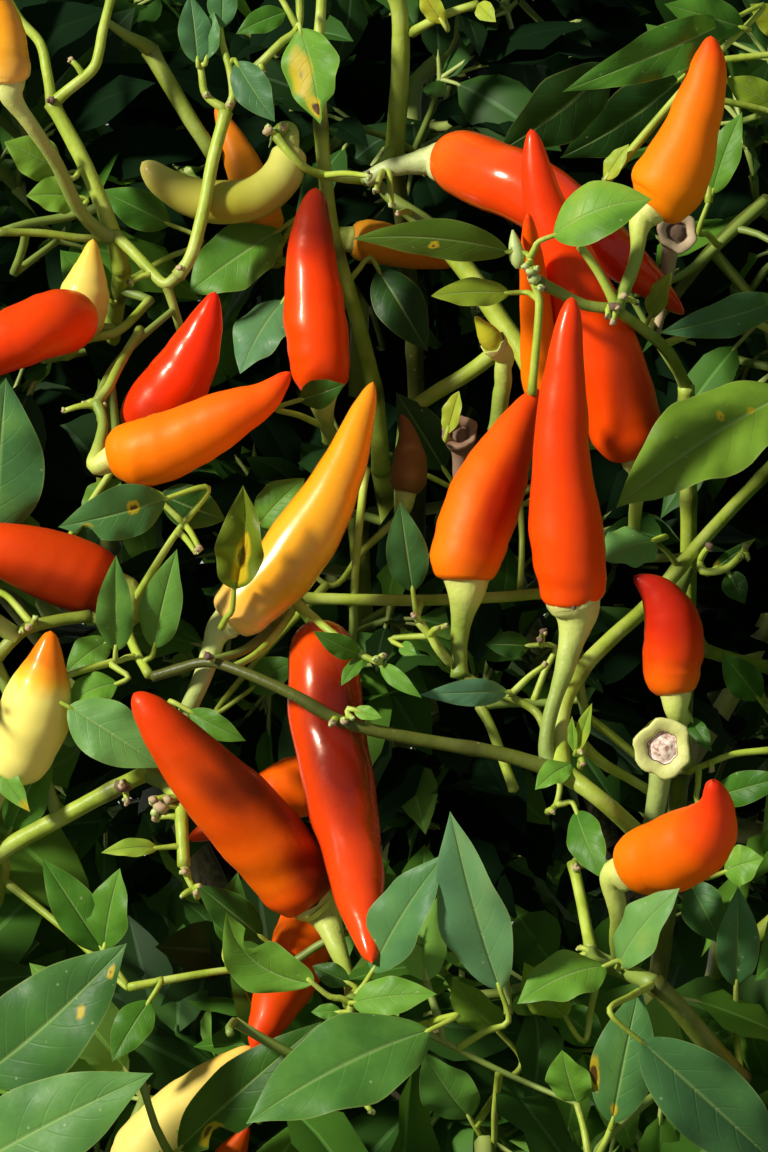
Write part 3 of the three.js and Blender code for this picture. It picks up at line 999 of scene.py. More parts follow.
def stem_relief(n, sides, seed, strength):
    """Bark: ridges that run along, cracks and lumps."""
    a = np.linspace(0, 2 * math.pi, sides, endpoint=False)[None]
    u = np.linspace(0, 1, n)[:, None]
    r = np.random.default_rng(seed)
    out = np.zeros((n, sides))
    for k in (3, 5, 8, 11):
        drift = 1.4 * np.sin(2 * math.pi * u * r.uniform(0.6, 1.8) + r.uniform(0, 6))
        out += np.cos(k * a + drift + r.uniform(0, 6)) / math.sqrt(k)
    return 1 + strength * (0.55 * out + 0.5 * wobble((n, sides), seed + 7))


def nodes_on(s, total, gap, seed):
    """Swellings where leaves grew: how much, and how near a node each place is."""
    r = np.random.default_rng(seed)
    swell = np.zeros_like(s)
    where = gap * r.uniform(0.5, 0.9)
    while where < total - 3:
        swell = np.maximum(swell, np.exp(-(((s - where) / 2.1) ** 2)))
        where += gap * r.uniform(0.75, 1.3)
    return swell


# the woody stem, with its flare and the roots that start under it
pile = Pile()
path = even(curves["stem"], 90)
z = path[:, 2]
sides = 48
angle = np.linspace(0, 2 * math.pi, sides, endpoint=False)
_, n_, b_ = carried(path)
world_angle = np.arctan2(
    (np.sin(angle)[None, :, None] * b_[:, None] + np.cos(angle)[None, :, None] * n_[:, None])[..., 1],
    (np.sin(angle)[None, :, None] * b_[:, None] + np.cos(angle)[None, :, None] * n_[:, None])[..., 0],
)
ribs = 1 + 0.3 * np.cos(5 * world_angle + 0.6) + 0.16 * np.cos(2 * world_angle + 1.9)
taper = STEM_RADIUS[0] + (STEM_RADIUS[1] - STEM_RADIUS[0]) * z / STEM_HEIGHT
radius = taper[:, None] + FLARE * ribs * np.exp(-z / FLARE_HEIGHT)[:, None]
radius *= stem_relief(len(path), sides, 5, 0.055)
swell = nodes_on(lengths(path), 100, 34, 3)
radius *= 1 + 0.05 * swell[:, None]
path[:, 2] = np.maximum(path[:, 2], 0)
skin(pile, path, np.ones(len(path)), sides, relief=radius, ends=(True, True), dome=0.0,
     age=np.clip(1.25 - z / 260, 0, 1), tone=0.1)
points = pile.points[0]
points[:, 2] = np.maximum(points[:, 2], 0.0)
woody = pile.piece("woody_stem", [STEM], keep=("age", "tone"))
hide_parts("stem")

FOOT_AGE = {"bough": 0.95, "limb": 0.5}
for i, (name, parent, share, tip, bow, radii) in enumerate(LIMBS):
    path = curves[name]
    if name in FRONT_LIMBS:
        first = path[0]
        if name in ("limb_right_arm", "limb_cross"):
            first = curves["limb_right_upper"][-1] if name == "limb_right_arm" else curves["limb_right_upper"][-2]
        last = [path[-1]] if name in ("limb_right_arm",) else []
        path = even(smooth([first] + [at(*p) for p in FRONT_LIMBS[name]] + last, 2.0), 60)
        curves[name] = path
    total = lengths(path)[-1]
    n = max(24, int(total / 1.1))
    path = even(path, n)
    s = lengths(path)
    bough = name.startswith("bough")
    sides = 22 if bough else 16
    swell = nodes_on(s, total, 30 if bough else 27, 40 + i)
    r = radii[0] + (radii[1] - radii[0]) * s / total
    if name == "limb_cross":
        r = r * 0.86
    r = r * (1 + 0.13 * swell + 0.28 * np.exp(-s / 4.0) + 0.10 * np.exp(-(total - s) / 3.0))
    relief = stem_relief(len(path), sides, 70 + i, 0.05 if bough else 0.03)
    height = np.clip((path[:, 2] - 110) / 240, 0, 1)
    age = np.clip(1.1 - 1.35 * height, 0, 1) if not name in FRONT_LIMBS else np.full(len(path), FRONT_AGE[name])
    tone = 0.75 * swell + 0.12
    if name == "limb_cross":
        tone = np.clip(0.86 + 0.2 * swell + 0.15 * s / total, 0, 1)
    if name == "limb_right_arm":
        tone = np.clip(0.02 + 0.55 * swell + 0.28 * s / total, 0, 1)
        r = r * 0.84
    if name == "limb_right_upper":
        tone = np.clip(tone + np.interp(seen(path)[1], [780, 880, 960], [0.12, 0.2, 0.85]), 0, 1)
        r = r * np.interp(seen(path)[1], [760, 790, 960], [0.9, 0.72, 0.72])
    # painted shade: limb_centre_back is darkened all along, where it stands in the shaded hollow
    if name == "limb_centre_back":
        age, tone = 0.25, 1.0
    pile = Pile()
    skin(pile, path, r, sides, relief=relief, ends=(True, True), dome=0.5, age=age, tone=tone)
    if name in SHOWN:
        tubes.append(pile.points[0])
    ob = pile.piece("bark_" + name, [STEM], keep=("age", "tone"))
    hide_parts(name)
    SK.add(path[4:], r[4:])

# ---------------------------------------------------- stems seen in front
twigs = Pile()  # every small stem, in plain greens
knobs = Pile()  # scars, dried flowers and buds
front = Pile()  # the clearest small stems, with the patterned skin


def tie(p, radius, behind=0.0, pile_=None, mat=0, limit=80.0, below=0.4):
    """Grows a twig from the nearest stem to p, unless p is already on one."""
    q, qr, far = SK.nearest(p, behind, below)
    if far <= qr + 0.4:
        return q
    a = unit(p - q)
    bend = np.cross(a, [0.3, 0.5, 0.8]) * far * 0.09
    path = smooth([q, q + (p - q) * 0.35 + bend - [0, 0, 0.04 * far], q + (p - q) * 0.72 + bend * 0.7, p], 3.0)
    r = np.linspace(min(qr * 0.8, radius * 1.35), radius, len(path))
    skin(twigs if pile_ is None else pile_, path, r, 7, mat=mat, ends=(False, True), dome=0.4)
    SK.add(path[1:], r[1:])
    return q


# Each: where it shows (px, py, depth), widths in pixels at its two ends, how brown it is (age), how dark
# at the nodes and all along (tone), and whether it starts on a stem by itself.
STEMS = [
    ([(122, 272, 59), (114, 240, 56), (108, 220, 55), (85, 165, 54), (52, 103, 55)], 17, 15, 0.0, 0.05, 1),
    ([(52, 103, 55), (47, 72, 55), (40, 43, 56), (20, 20, 57), (4, -8, 58)], 11, 9, 0.0, 0.05, 0),
    ([(53, 104, 55), (66, 92, 54), (92, 70, 53), (99, 52, 53), (103, 30, 54), (112, -6, 56)], 12, 9, 0.0, 0.1, 0),
    ([(112, 232, 55), (133, 252, 53), (150, 270, 50), (165, 284, 48), (178, 276, 47)], 12, 11, 0.0, 0.2, 0),
    ([(178, 276, 47), (191, 256, 47), (203, 212, 48), (213, 160, 49), (226, 112, 50)], 13, 13, 0.0, 0.05, 0),
    ([(226, 112, 50), (233, 96, 50), (230, 70, 50), (222, 42, 51), (218, 10, 52)], 9, 6, 0.0, 0.2, 0),
    ([(226, 110, 50), (206, 95, 51), (201, 70, 51), (196, 45, 52)], 9, 6, 0.0, 0.2, 0),
    ([(166, 284, 48), (176, 314, 50), (184, 345, 57), (190, 390, 66)], 9, 8, 0.0, 0.3, 1),
    ([(319, 93, 61), (316, 60, 60), (320, 24, 60), (322, -12, 60)], 13, 10, 0.0, 0.05, 0),
    ([(394, 159, 76), (400, 77, 70), (400, 15, 66), (392, -12, 65)], 20, 17, 0.1, 0.25, 1),
    ([(600, 248, 58), (600, 215, 50), (603, 193, 36), (605, 182, 31)], 6, 5, 0.0, 0.1, 1),
    ([(393, 150, 75), (381, 165, 68), (366, 180, 62)], 12, 12, 0.0, 0.2, 0),
    ([(366, 180, 62), (340, 178, 58), (310, 171, 54), (292, 156, 52), (276, 136, 53)], 9, 9, 0.0, 0.2, 0),
    ([(411, 33, 67), (430, 22, 64), (452, 12, 62), (478, 4, 61)], 10, 8, 0.0, 0.1, 1),
    ([(255, 69, 52), (268, 56, 51), (283, 41, 51), (298, 28, 52), (300, -6, 54)], 9, 8, 0.0, 0.25, 1),
    ([(298, 28, 52), (290, 14, 52), (278, -8, 53)], 7, 6, 0.0, 0.1, 0),
    ([(686, 387, 57), (668, 352, 44), (644, 330, 28), (616, 310, 14)], 13, 11, 0.1, 0.4, 1),
    ([(614, 309, 14), (585, 305, 13), (558, 292, 11), (536, 280, 9)], 11, 12, 0.1, 0.55, 0),
    ([(616, 306, 14), (600, 275, 13), (580, 246, 12)], 10, 8, 0.0, 0.1, 0),
    # painted shade: this stem's high tone darkens it where it lies in shade
    ([(768, 200, 72), (740, 222, 71), (707, 255, 70), (672, 300, 62), (650, 330, 50)], 14, 10, 0.1, 0.95, 1),
    ([(534, 282, 9), (539, 300, 9), (538, 326, 9), (535, 360, 10), (532, 394, 12)], 8, 9, 0.0, 0.0, 0),
    ([(300, 598, 24), (370, 600, 24), (430, 600, 22), (500, 597, 22), (548, 593, 22)], 12, 11, 0.0, 0.15, 1),
    ([(293, 600, 9), (310, 614, 7), (326, 628, 3), (346, 643, 1), (362, 655, 0)], 9, 7, 0.0, 0.05, 1),
    ([(362, 655, 0), (378, 663, -1), (392, 672, -1)], 6, 6, 0.0, 0.1, 0),
    ([(694, 551, 30), (680, 566, 27), (668, 553, 24), (654, 541, 22)], 7, 5, 0.1, 0.7, 1),
    ([(698, 556, 30), (703, 571, 28), (725, 569, 27), (744, 553, 27)], 9, 7, 0.0, 0.15, 0),
    ([(704, 650, 45), (736, 660, 48), (772, 668, 52)], 13, 13, 0.0, 0.2, 1),
    ([(585, 716, 14), (606, 731, 16), (634, 754, 18), (648, 768, 16)], 9, 8, 0.0, 0.1, 1),
    ([(582, 745, 9), (604, 764, 11), (630, 779, 14), (652, 792, 16)], 12, 9, 0.0, 0.1, 1),
    ([(480, 706, 12), (492, 730, 10), (506, 768, 8), (514, 790, 8)], 10, 10, 0.0, 0.1, 1),
    ([(688, 772, 8), (710, 763, 6), (734, 754, 5), (772, 750, 5)], 6, 7, 0.0, 0.0, 1),
    ([(573, 863, 18), (580, 895, 14), (586, 925, 10), (591, 950, 6)], 11, 12, 0.0, 0.0, 1),
    ([(654, 984, -26), (675, 1004, -24), (707, 1042, -18), (740, 1080, -8)], 20, 22, 0.1, 0.75, 1),
    ([(589, 1160, -30), (584, 1130, -28), (577, 1104, -26)], 8, 6, 0.0, 0.1, 1),
    ([(597, 1158, -30), (606, 1140, -28), (613, 1122, -26)], 7, 6, 0.0, 0.1, 1),
    ([(352, 1003, -24), (346, 1025, -24), (330, 1040, -22), (318, 1058, -18), (300, 1090, -6)], 8, 11, 0.0, 0.05, 1),
    ([(-6, 660, 12), (12, 640, 12), (28, 628, 12), (60, 620, 13), (90, 616, 14)], 14, 12, 0.3, 0.5, 1),
    ([(126, 628, 16), (136, 652, 12), (149, 675, 7)], 10, 9, 0.0, 0.05, 1),
    ([(150, 50, 66), (170, 85, 65), (192, 122, 64), (214, 155, 64)], 17, 15, 0.0, 0.5, 1),
    ([(440, 236, 62), (470, 275, 60), (500, 320, 58), (522, 352, 56), (540, 392, 54)], 22, 19, 0.0, 0.0, 1),
    ([(505, 345, 62), (470, 372, 62), (440, 390, 63), (404, 414, 64)], 17, 15, 0.0, 0.1, 1),
    ([(291, 612, 14), (276, 634, 10), (256, 654, 5), (232, 668, 1)], 8, 7, 0.0, 0.1, 1),
    ([(97, 402, 24), (108, 388, 25), (116, 372, 27), (128, 350, 34), (140, 330, 45)], 10, 9, 0.2, 0.3, 1),
    ([(-10, 850, 16), (4, 862, 18), (0, 890, 22), (-12, 930, 30)], 12, 12, 0.1, 0.3, 1),
    ([(168, 785, 6), (180, 803, 3), (182, 830, 0), (184, 866, -2)], 15, 12, 0.0, 0.0, 1),
    ([(184, 866, -2), (189, 880, -3), (197, 897, -4)], 8, 6, 0.0, 0.1, 0),
    ([(466, 676, 9), (490, 690, 9), (512, 698, 8), (536, 712, 7), (548, 735, 3)], 8, 9, 0.1, 0.5, 1),
    ([(419, 622, 6), (430, 636, 6), (438, 650, 6), (450, 664, 8)], 8, 7, 0.0, 0.05, 1),
    ([(555, 771, 1), (560, 785, 0), (556, 805, -2), (548, 812, -3)], 6, 6, 0.0, 0.1, 1),
    ([(579, 770, 0), (582, 755, -1), (584, 742, -2)], 6, 5, 0.0, 0.0, 1),
    ([(352, 640, 30), (356, 560, 34), (362, 500, 40), (366, 470, 46)], 8, 8, 0.0, 0.0, 1),
    ([(520, 590, 24), (522, 545, 25), (520, 505, 28)], 6, 6, 0.0, 0.3, 1),
    ([(0, 232, 48), (40, 233, 50), (80, 238, 52), (108, 238, 55)], 8, 8, 0.1, 0.4, 1),
    ([(150, 300, 62), (120, 330, 52), (92, 338, 46), (60, 345, 44)], 9, 9, 0.0, 0.1, 1),
]
for i, (places, w0, w1, age, tone, tied) in enumerate(STEMS):
    line = [at(*p) for p in places]
    r0, r1 = w0 * (DISTANCE + places[0][2]) / FOCAL / 2, w1 * (DISTANCE + places[-1][2]) / FOCAL / 2
    path = smooth(line, 1.2)
    s = lengths(path)
    total = s[-1]
    swell = np.maximum(np.exp(-((s / 1.8) ** 2)), np.exp(-(((total - s) / 1.6) ** 2)))
    r = (r0 + (r1 - r0) * s / total) * (1 + 0.16 * swell)
    if tied:
        tie(path[0], r0, behind=0.6)
    skin(front, path, r, 12, relief=stem_relief(len(path), 12, 200 + i, 0.035), ends=(True, True),
         dome=0.6, age=age, tone=np.clip(tone + 0.35 * swell, 0, 1))
    SK.add(path, r)

# -------------------------------------------------------------------- fruits
BULLET = [(0, 0.70), (0.03, 0.83), (0.08, 0.93), (0.16, 0.99), (0.27, 1.0), (0.42, 0.95), (0.56, 0.84),
          (0.7, 0.68), (0.82, 0.5), (0.91, 0.33), (0.965, 0.2), (0.99, 0.1), (1, 0.0)]
LONG = [(0, 0.66), (0.03, 0.80), (0.08, 0.93), (0.16, 1.0), (0.3, 1.0), (0.45, 0.95), (0.6, 0.86),
        (0.74, 0.74), (0.86, 0.56), (0.94, 0.36), (0.98, 0.2), (1, 0.0)]
SLENDER = [(0, 0.72), (0.03, 0.84), (0.07, 0.92), (0.14, 1.0), (0.26, 0.96), (0.39, 0.85), (0.52, 0.76),
           (0.63, 0.68), (0.765, 0.54), (0.89, 0.38), (0.955, 0.26), (0.99, 0.14), (1, 0.0)]
FAT = [(0, 0.68), (0.03, 0.81), (0.08, 0.92), (0.16, 0.99), (0.3, 1.0), (0.46, 0.96), (0.6, 0.86),
       (0.74, 0.72), (0.85, 0.56), (0.93, 0.4), (0.975, 0.24), (0.995, 0.1), (1, 0.0)]
SHORT = [(0, 0.68), (0.04, 0.82), (0.1, 0.94), (0.2, 1.0), (0.35, 0.98), (0.5, 0.86), (0.64, 0.66),
         (0.78, 0.45), (0.9, 0.28), (0.97, 0.16), (1, 0.0)]
PEAR = [(0, 0.7), (0.04, 0.84), (0.1, 0.94), (0.2, 1.0), (0.35, 0.89), (0.5, 0.745), (0.64, 0.65), (0.78, 0.55),
        (0.9, 0.38), (0.96, 0.24), (0.99, 0.12), (1, 0.0)]
TALL = [(0, 0.7), (0.03, 0.82), (0.115, 0.95), (0.22, 1.0), (0.31, 0.99), (0.46, 0.87), (0.61, 0.74), (0.72, 0.615),
        (0.83, 0.46), (0.91, 0.34), (0.965, 0.22), (0.99, 0.12), (1, 0.0)]
COMMA = [(0, 0.6), (0.06, 0.78), (0.15, 0.9), (0.32, 1.0), (0.5, 0.97), (0.62, 0.82), (0.74, 0.56), (0.84, 0.40),
         (0.92, 0.28), (0.97, 0.18), (1, 0.0)]
HOOK = [(0, 0.6), (0.06, 0.74), (0.15, 0.87), (0.3, 1.0), (0.48, 0.97), (0.62, 0.85), (0.76, 0.64), (0.86, 0.44),
        (0.94, 0.26), (0.98, 0.14), (1, 0.0)]
EGG = [(0, 0.6), (0.08, 0.74), (0.2, 0.89), (0.4, 1.0), (0.54, 0.93), (0.68, 0.74), (0.79, 0.52), (0.88, 0.36),
       (0.95, 0.24), (0.985, 0.13), (1, 0.0)]
CRESCENT = [(0, 0.62), (0.04, 0.78), (0.12, 0.92), (0.3, 1.0), (0.55, 0.98), (0.75, 0.86), (0.88, 0.68), (0.95, 0.48),
            (0.985, 0.27), (1, 0.0)]
# how wide the calyx is, of the fruit's widest
# dark patches on the fruits, placed by the front view (px, py, long, short, turn in degrees, how much): partly skin
# that still turns, partly painted shade
TURNING_AND_PAINTED_SHADE = {
    "low_left": [(316, 870, 36, 26, 52, 1.0), (290, 814, 50, 18, 49, 0.95), (246, 772, 52, 22, 49, 0.95), (222, 790, 38, 19, 28, 0.75), (206, 730, 44, 15, 49, 0.75)],
    "centre_left": [(505, 494, 80, 19, -66, 0.9)],
    "behind": [(650, 410, 50, 16, 74, 0.5)],
    "left_red": [(146, 420, 30, 22, -50, 0.5)],
    "hanging": [(341, 744, 100, 35, 82, 1.0)],
    "yellow_orange": [(298, 576, 44, 34, -54, 0.15)],
    "left_low_red": [(60, 560, 120, 70, 14, 0.2), (40, 590, 90, 24, 12, 0.8)],
    "back_left_red": [(313, 212, 46, 44, 88, 0.95)],
    "top_left": [(10, 60, 30, 12, 0, 0.3)],
}
RIM = {"young": 1.15, "centre": 0.74, "centre_left": 0.60, "behind": 0.40, "behind_left": 0.6, "lying_back": 0.66, "top_right": 0.42,
       "yellow_orange": 0.50, "left_orange": 0.40, "left_red": 0.5, "back_left_red": 0.5, "banana": 0.5,
       "back_orange": 0.6, "top_left": 0.66, "left_yellow": 0.5, "left_edge": 0.45, "left_low_red": 0.5,
       "left_low_yellow": 0.46, "low_left": 0.60, "hanging": 0.5, "behind_low": 0.5, "low_orange": 0.5,
       "low_pale": 0.6, "low_small": 0.5, "right_curved": 0.50, "right_short": 0.5, "far_blur": 0.6, "far_brown": 0.6}
# name, look, shape, width in pixels, axis from calyx to tip, stalk from calyx
# outwards, stalk width in pixels
FRUITS = [
    ("centre", "red_orange", SLENDER, 75,
     [(574, 601, 0), (571, 575, -1), (567, 540, -2), (563, 490, -3), (562, 446, -4), (563, 400, -5), (566, 350, -6), (572, 297, -7)],
     [(574, 601, 0), (573, 630, 0), (568, 656, 0), (560, 684, 0), (550, 716, 0), (546, 746, 0), (549, 764, 0)], 15),
    ("centre_left", "orange_deep", BULLET, 76,
     [(466, 580, 8), (467, 555, 8), (477, 520, 9), (493, 480, 10), (512, 436, 12), (527, 408, 13), (538, 389, 14)],
     [(466, 580, 8), (464, 604, 9), (460, 632, 10), (459, 656, 10), (460, 676, 9)], 15),
    ("behind", "red_orange", TALL, 80,
     [(636, 458, 30), (624, 418, 29), (604, 362, 27), (584, 306, 26), (563, 255, 25), (548, 215, 24), (538, 175, 23), (531, 129, 22)],
     [(636, 458, 30), (637, 480, 31), (636, 505, 33), (634, 528, 36), (632, 560, 40)], 12),
    ("behind_left", "orange", SLENDER, 42,
     [(548, 405, 34), (541, 370, 31), (537, 320, 25), (532, 262, 17), (528, 214, 10)],
     [(545, 405, 34), (546, 425, 36), (544, 450, 38), (538, 480, 40)], 10),
    ("lying_back", "red_gloss", BULLET, 73,
     [(447, 162, 56), (463, 164, 53), (489, 173, 48.5), (525, 190, 43), (570, 218, 39.5), (612, 250, 40), (650, 283, 43), (684, 314, 46)],
     [(447, 162, 56), (424, 161, 58), (404, 165, 58.5), (384, 170, 59), (366, 180, 60)], 13),
    ("top_right", "orange_clear", PEAR, 76,
     [(651, 210, 22), (662, 196, 22), (676, 168, 21), (690, 133, 20), (702, 96, 19), (709, 62, 18), (711, 36, 17)],
     [(651, 210, 22), (646, 226, 21), (637, 252, 18), (630, 276, 16), (616, 308, 14)], 13),
    ("yellow_orange", "yellow_orange", BULLET, 68,
     [(229, 622, 8), (249, 602, 7.5), (284, 566, 6.6), (313, 523, 6.3), (341, 472, 6.5), (360, 421, 7.2), (373, 382, 8)],
     [(229, 622, 8), (218, 642, 8), (206, 668, 8), (195, 694, 9), (183, 722, 12), (168, 760, 22)], 18),
    ("left_orange", "orange", BULLET, 69,
     [(112, 459, 15), (130, 454, 14), (161, 449, 12), (198, 432, 10), (235, 412, 8), (266, 397, 7), (290, 372, 6)],
     [(112, 459, 15), (108, 448, 17), (103, 425, 21), (97, 403, 24)], 10),
    ("left_red", "red", BULLET, 68,
     [(140, 434, 30), (160, 405, 28), (185, 369, 26), (203, 330, 24), (215, 292, 22)],
     [(140, 434, 30), (128, 446, 32), (118, 462, 36)], 10),
    ("back_left_red", "red_orange", FAT, 62,
     [(322, 392, 46), (319, 350, 46), (314, 300, 47), (311, 240, 49), (316, 188, 52)],
     [(322, 392, 46), (324, 412, 48), (330, 440, 52)], 12),
    ("banana", "olive", CRESCENT, 44,
     [(288, 148, 56), (284, 172, 55), (262, 195, 54), (232, 202, 54), (200, 199, 54), (166, 184, 54), (142, 162, 54)],
     [(288, 148, 56), (290, 138, 57), (284, 128, 56), (276, 134, 54)], 9),
    ("back_orange", "orange_dull", BULLET, 42,
     [(268, 234, 66), (258, 204, 65), (244, 168, 65), (229, 134, 66), (216, 106, 66)],
     [(268, 234, 66), (271, 246, 67), (276, 262, 70)], 9),
    ("young", "bud_green", SHORT, 23,
     [(496, 346, 18), (491, 339, 17), (484, 329, 16), (475, 316, 15)],
     [(496, 346, 18), (500, 356, 19), (503, 368, 20), (503, 384, 21), (500, 402, 22), (498, 430, 24)], 16),
    ("top_left", "yellow_orange", BULLET, 46,
     [(10, 82, 30), (7, 60, 29), (3, 30, 28), (-6, -2, 27), (-16, -30, 26)],
     [(11, 84, 30), (20, 105, 32), (33, 128, 34), (56, 163, 40), (78, 208, 48), (98, 230, 53), (110, 236, 55)], 14),
    ("left_yellow", "yellow_plain", SHORT, 54,
     [(72, 334, 45), (80, 312, 45), (88, 276, 44), (93, 239, 43)],
     [(72, 334, 45), (68, 344, 45), (60, 346, 44)], 9),
    ("left_edge", "red_orange", FAT, 66,
     [(72, 321, 36), (62, 321, 30), (40, 328, 26), (0, 346, 24), (-40, 366, 22), (-66, 382, 21)],
     [(72, 321, 36), (78, 322, 42), (92, 326, 48), (112, 330, 52)], 10),
    ("left_low_red", "red_dull", BULLET, 74,
     [(112, 588, 18), (90, 580, 18), (55, 567, 17), (10, 552, 15), (-30, 540, 14), (-60, 532, 13)],
     [(112, 588, 18), (122, 600, 18), (128, 622, 17)], 11),
    ("left_low_yellow", "yellow", EGG, 76,
     [(6, 774, 10), (22, 748, 9), (34, 715, 7), (43, 676, 5), (51, 631, 3)],
     [(4, 778, 10), (-4, 796, 11), (-10, 820, 13), (-10, 848, 15)], 15),
    ("low_left", "orange_red", FAT, 84,
     [(313, 900, 2), (288, 869, 1), (259, 834, -2), (218, 791, -6), (180, 748, -9), (155, 717, -11), (134, 693, -12)],
     [(313, 900, 2), (326, 925, 1), (340, 955, -3), (350, 984, -12), (352, 1003, -22)], 14),
    ("hanging", "red_dark", LONG, 74,
     [(321, 644, 18), (322, 656, 12), (325, 690, 9), (331, 742, 8), (339, 792, 2), (350, 842, -6), (361, 900, -15), (372, 963, -25)],
     [(321, 644, 19), (320, 636, 26), (312, 622, 31), (298, 604, 30)], 10),
    ("behind_low", "orange_red", SHORT, 60,
     [(330, 776, 25), (305, 784, 24), (270, 799, 23), (230, 820, 22), (188, 840, 22)],
     [(330, 776, 25), (342, 772, 27), (356, 762, 30)], 10),
    ("low_orange", "orange_red", FAT, 62,
     [(318, 905, 21), (306, 935, 18), (292, 970, 13), (274, 1008, 8), (254, 1050, 3)],
     [(318, 905, 21), (322, 901, 26), (330, 903, 32)], 10),
    ("low_pale", "pale", BULLET, 70,
     [(128, 1176, 8), (150, 1150, 7), (182, 1114, 6), (216, 1080, 5), (252, 1047, 4)],
     [(128, 1176, 8), (118, 1190, 8), (108, 1210, 10)], 12),
    ("low_small", "orange", SHORT, 38,
     [(222, 1186, 8), (230, 1160, 7), (248, 1126, 5)],
     [(222, 1186, 8), (218, 1200, 9), (214, 1220, 12)], 9),
    ("right_curved", "red_top", HOOK, 62,
     [(675, 694, 4), (672, 668, 4), (674, 640, 3), (670, 615, 2), (656, 592, 1), (634, 576, 0)],
     [(675, 694, 4), (681, 708, 5), (685, 724, 7), (686, 740, 9), (688, 770, 9)], 11),
    ("right_short", "orange_bright", COMMA, 78,
     [(627, 872, -14), (645, 862, -16), (675, 852, -20), (701, 837, -25), (716, 810, -31), (712, 780, -36)],
     [(627, 872, -14), (623, 892, -13), (619, 918, -10), (618, 942, -4), (622, 966, 4)], 18),
    ("far_blur", "orange_dull", BULLET, 44,
     [(352, 240, 76), (380, 243, 77), (415, 252, 78), (452, 266, 79)],
     [(352, 240, 76), (340, 238, 77), (330, 246, 76)], 9),
    ("far_brown", "brown", SHORT, 36,
     [(406, 492, 56), (410, 465, 56), (408, 435, 57), (401, 414, 58)],
     [(406, 492, 56), (404, 505, 58), (398, 520, 62)], 8),
]
CUPS = [  # empty calyx cups: centre of the mouth, towards, width, stalk, look
    ((663, 748, -2), (-0.12, -0.75, 0.55), 58, [(663, 752, 0), (661, 775, 2), (656, 805, 5), (652, 832, 10)], 0),
    ((677, 232, 38), (0.15, -0.8, 0.6), 40, [(676, 236, 40), (672, 262, 44), (664, 300, 50), (655, 335, 52)], 1),
    ((460, 434, 30), (-0.05, -0.35, 0.95), 36, [(461, 441, 31), (463, 470, 32), (462, 520, 38)], 2),
]


def fruit(pile_, axis, radius, shape, seed, lumps_=0.035, rings=58, sides=34, mat=0, lo=False, rim=0.6, round_=0.8,
          spots=()):
    """A fruit from its calyx to its tip. round_ is how far its shoulder goes on,
    in radii. A spot (px, py, long, short, turn in degrees, how much) darkens the
    skin: partly skin that still turns, partly painted shade."""
    if lo:
        rings, sides = 16, 12
    path = even(smooth(axis, 1.0), rings)
    t = np.linspace(0, 1, rings + 1)
    # rings crowd towards the two ends, where the radius changes fast
    t = 0.5 - 0.5 * np.cos(math.pi * (0.01 + 0.99 * t))
    t = (t - t[0]) / (t[-1] - t[0])
    s = lengths(path)
    path = np.stack([np.interp(t * s[-1], s, path[:, i]) for i in range(3)], -1)
    r = np.interp(t, [x for x, _ in shape], [y for _, y in shape])
    # the shoulder rounds in to the calyx
    turn = min(0.22, max(0.04, round_ * radius / s[-1]))
    ease = np.clip(t / turn, 0, 1)
    shoulder = np.interp(turn, [x for x, _ in shape], [y for _, y in shape])
    r = radius * np.where(t < turn, rim + (shoulder - rim) * np.sqrt(1 - (1 - ease) ** 2), r)
    k = np.array([0.25, 0.5, 0.25])
    inner = np.convolve(r, k, "same")
    r[1:-1] = inner[1:-1]
    r[-1] = radius * 0.03
    n, m = len(path), sides
    relief = 1 + lumps_ * wobble((n, m), seed, ((2.0, 1, 1.0), (4.4, 2, 0.7), (8.0, 3, 0.45), (13.0, 4, 0.22)))
    skin(pile_, path, r, sides, relief=relief, ends=(True, True), dome=0.2, mat=mat, along=t)
    # spots are placed by where each point shows in the front view; in part they are painted shade
    if spots:
        px, py, _ = seen(pile_.points[-1])
        tone = np.zeros(len(px))
        for sx, sy, long_, short, angle, much in spots:
            c_, s_ = math.cos(math.radians(angle)), math.sin(math.radians(angle))
            a_, b_ = (px - sx) * c_ + (py - sy) * s_, (py - sy) * c_ - (px - sx) * s_
            tone = np.maximum(tone, much * np.exp(-(((a_ / long_) ** 2 + (b_ / short) ** 2) ** 1.6)))
        pile_.facts["tone"][-1] = tone
    return path, r


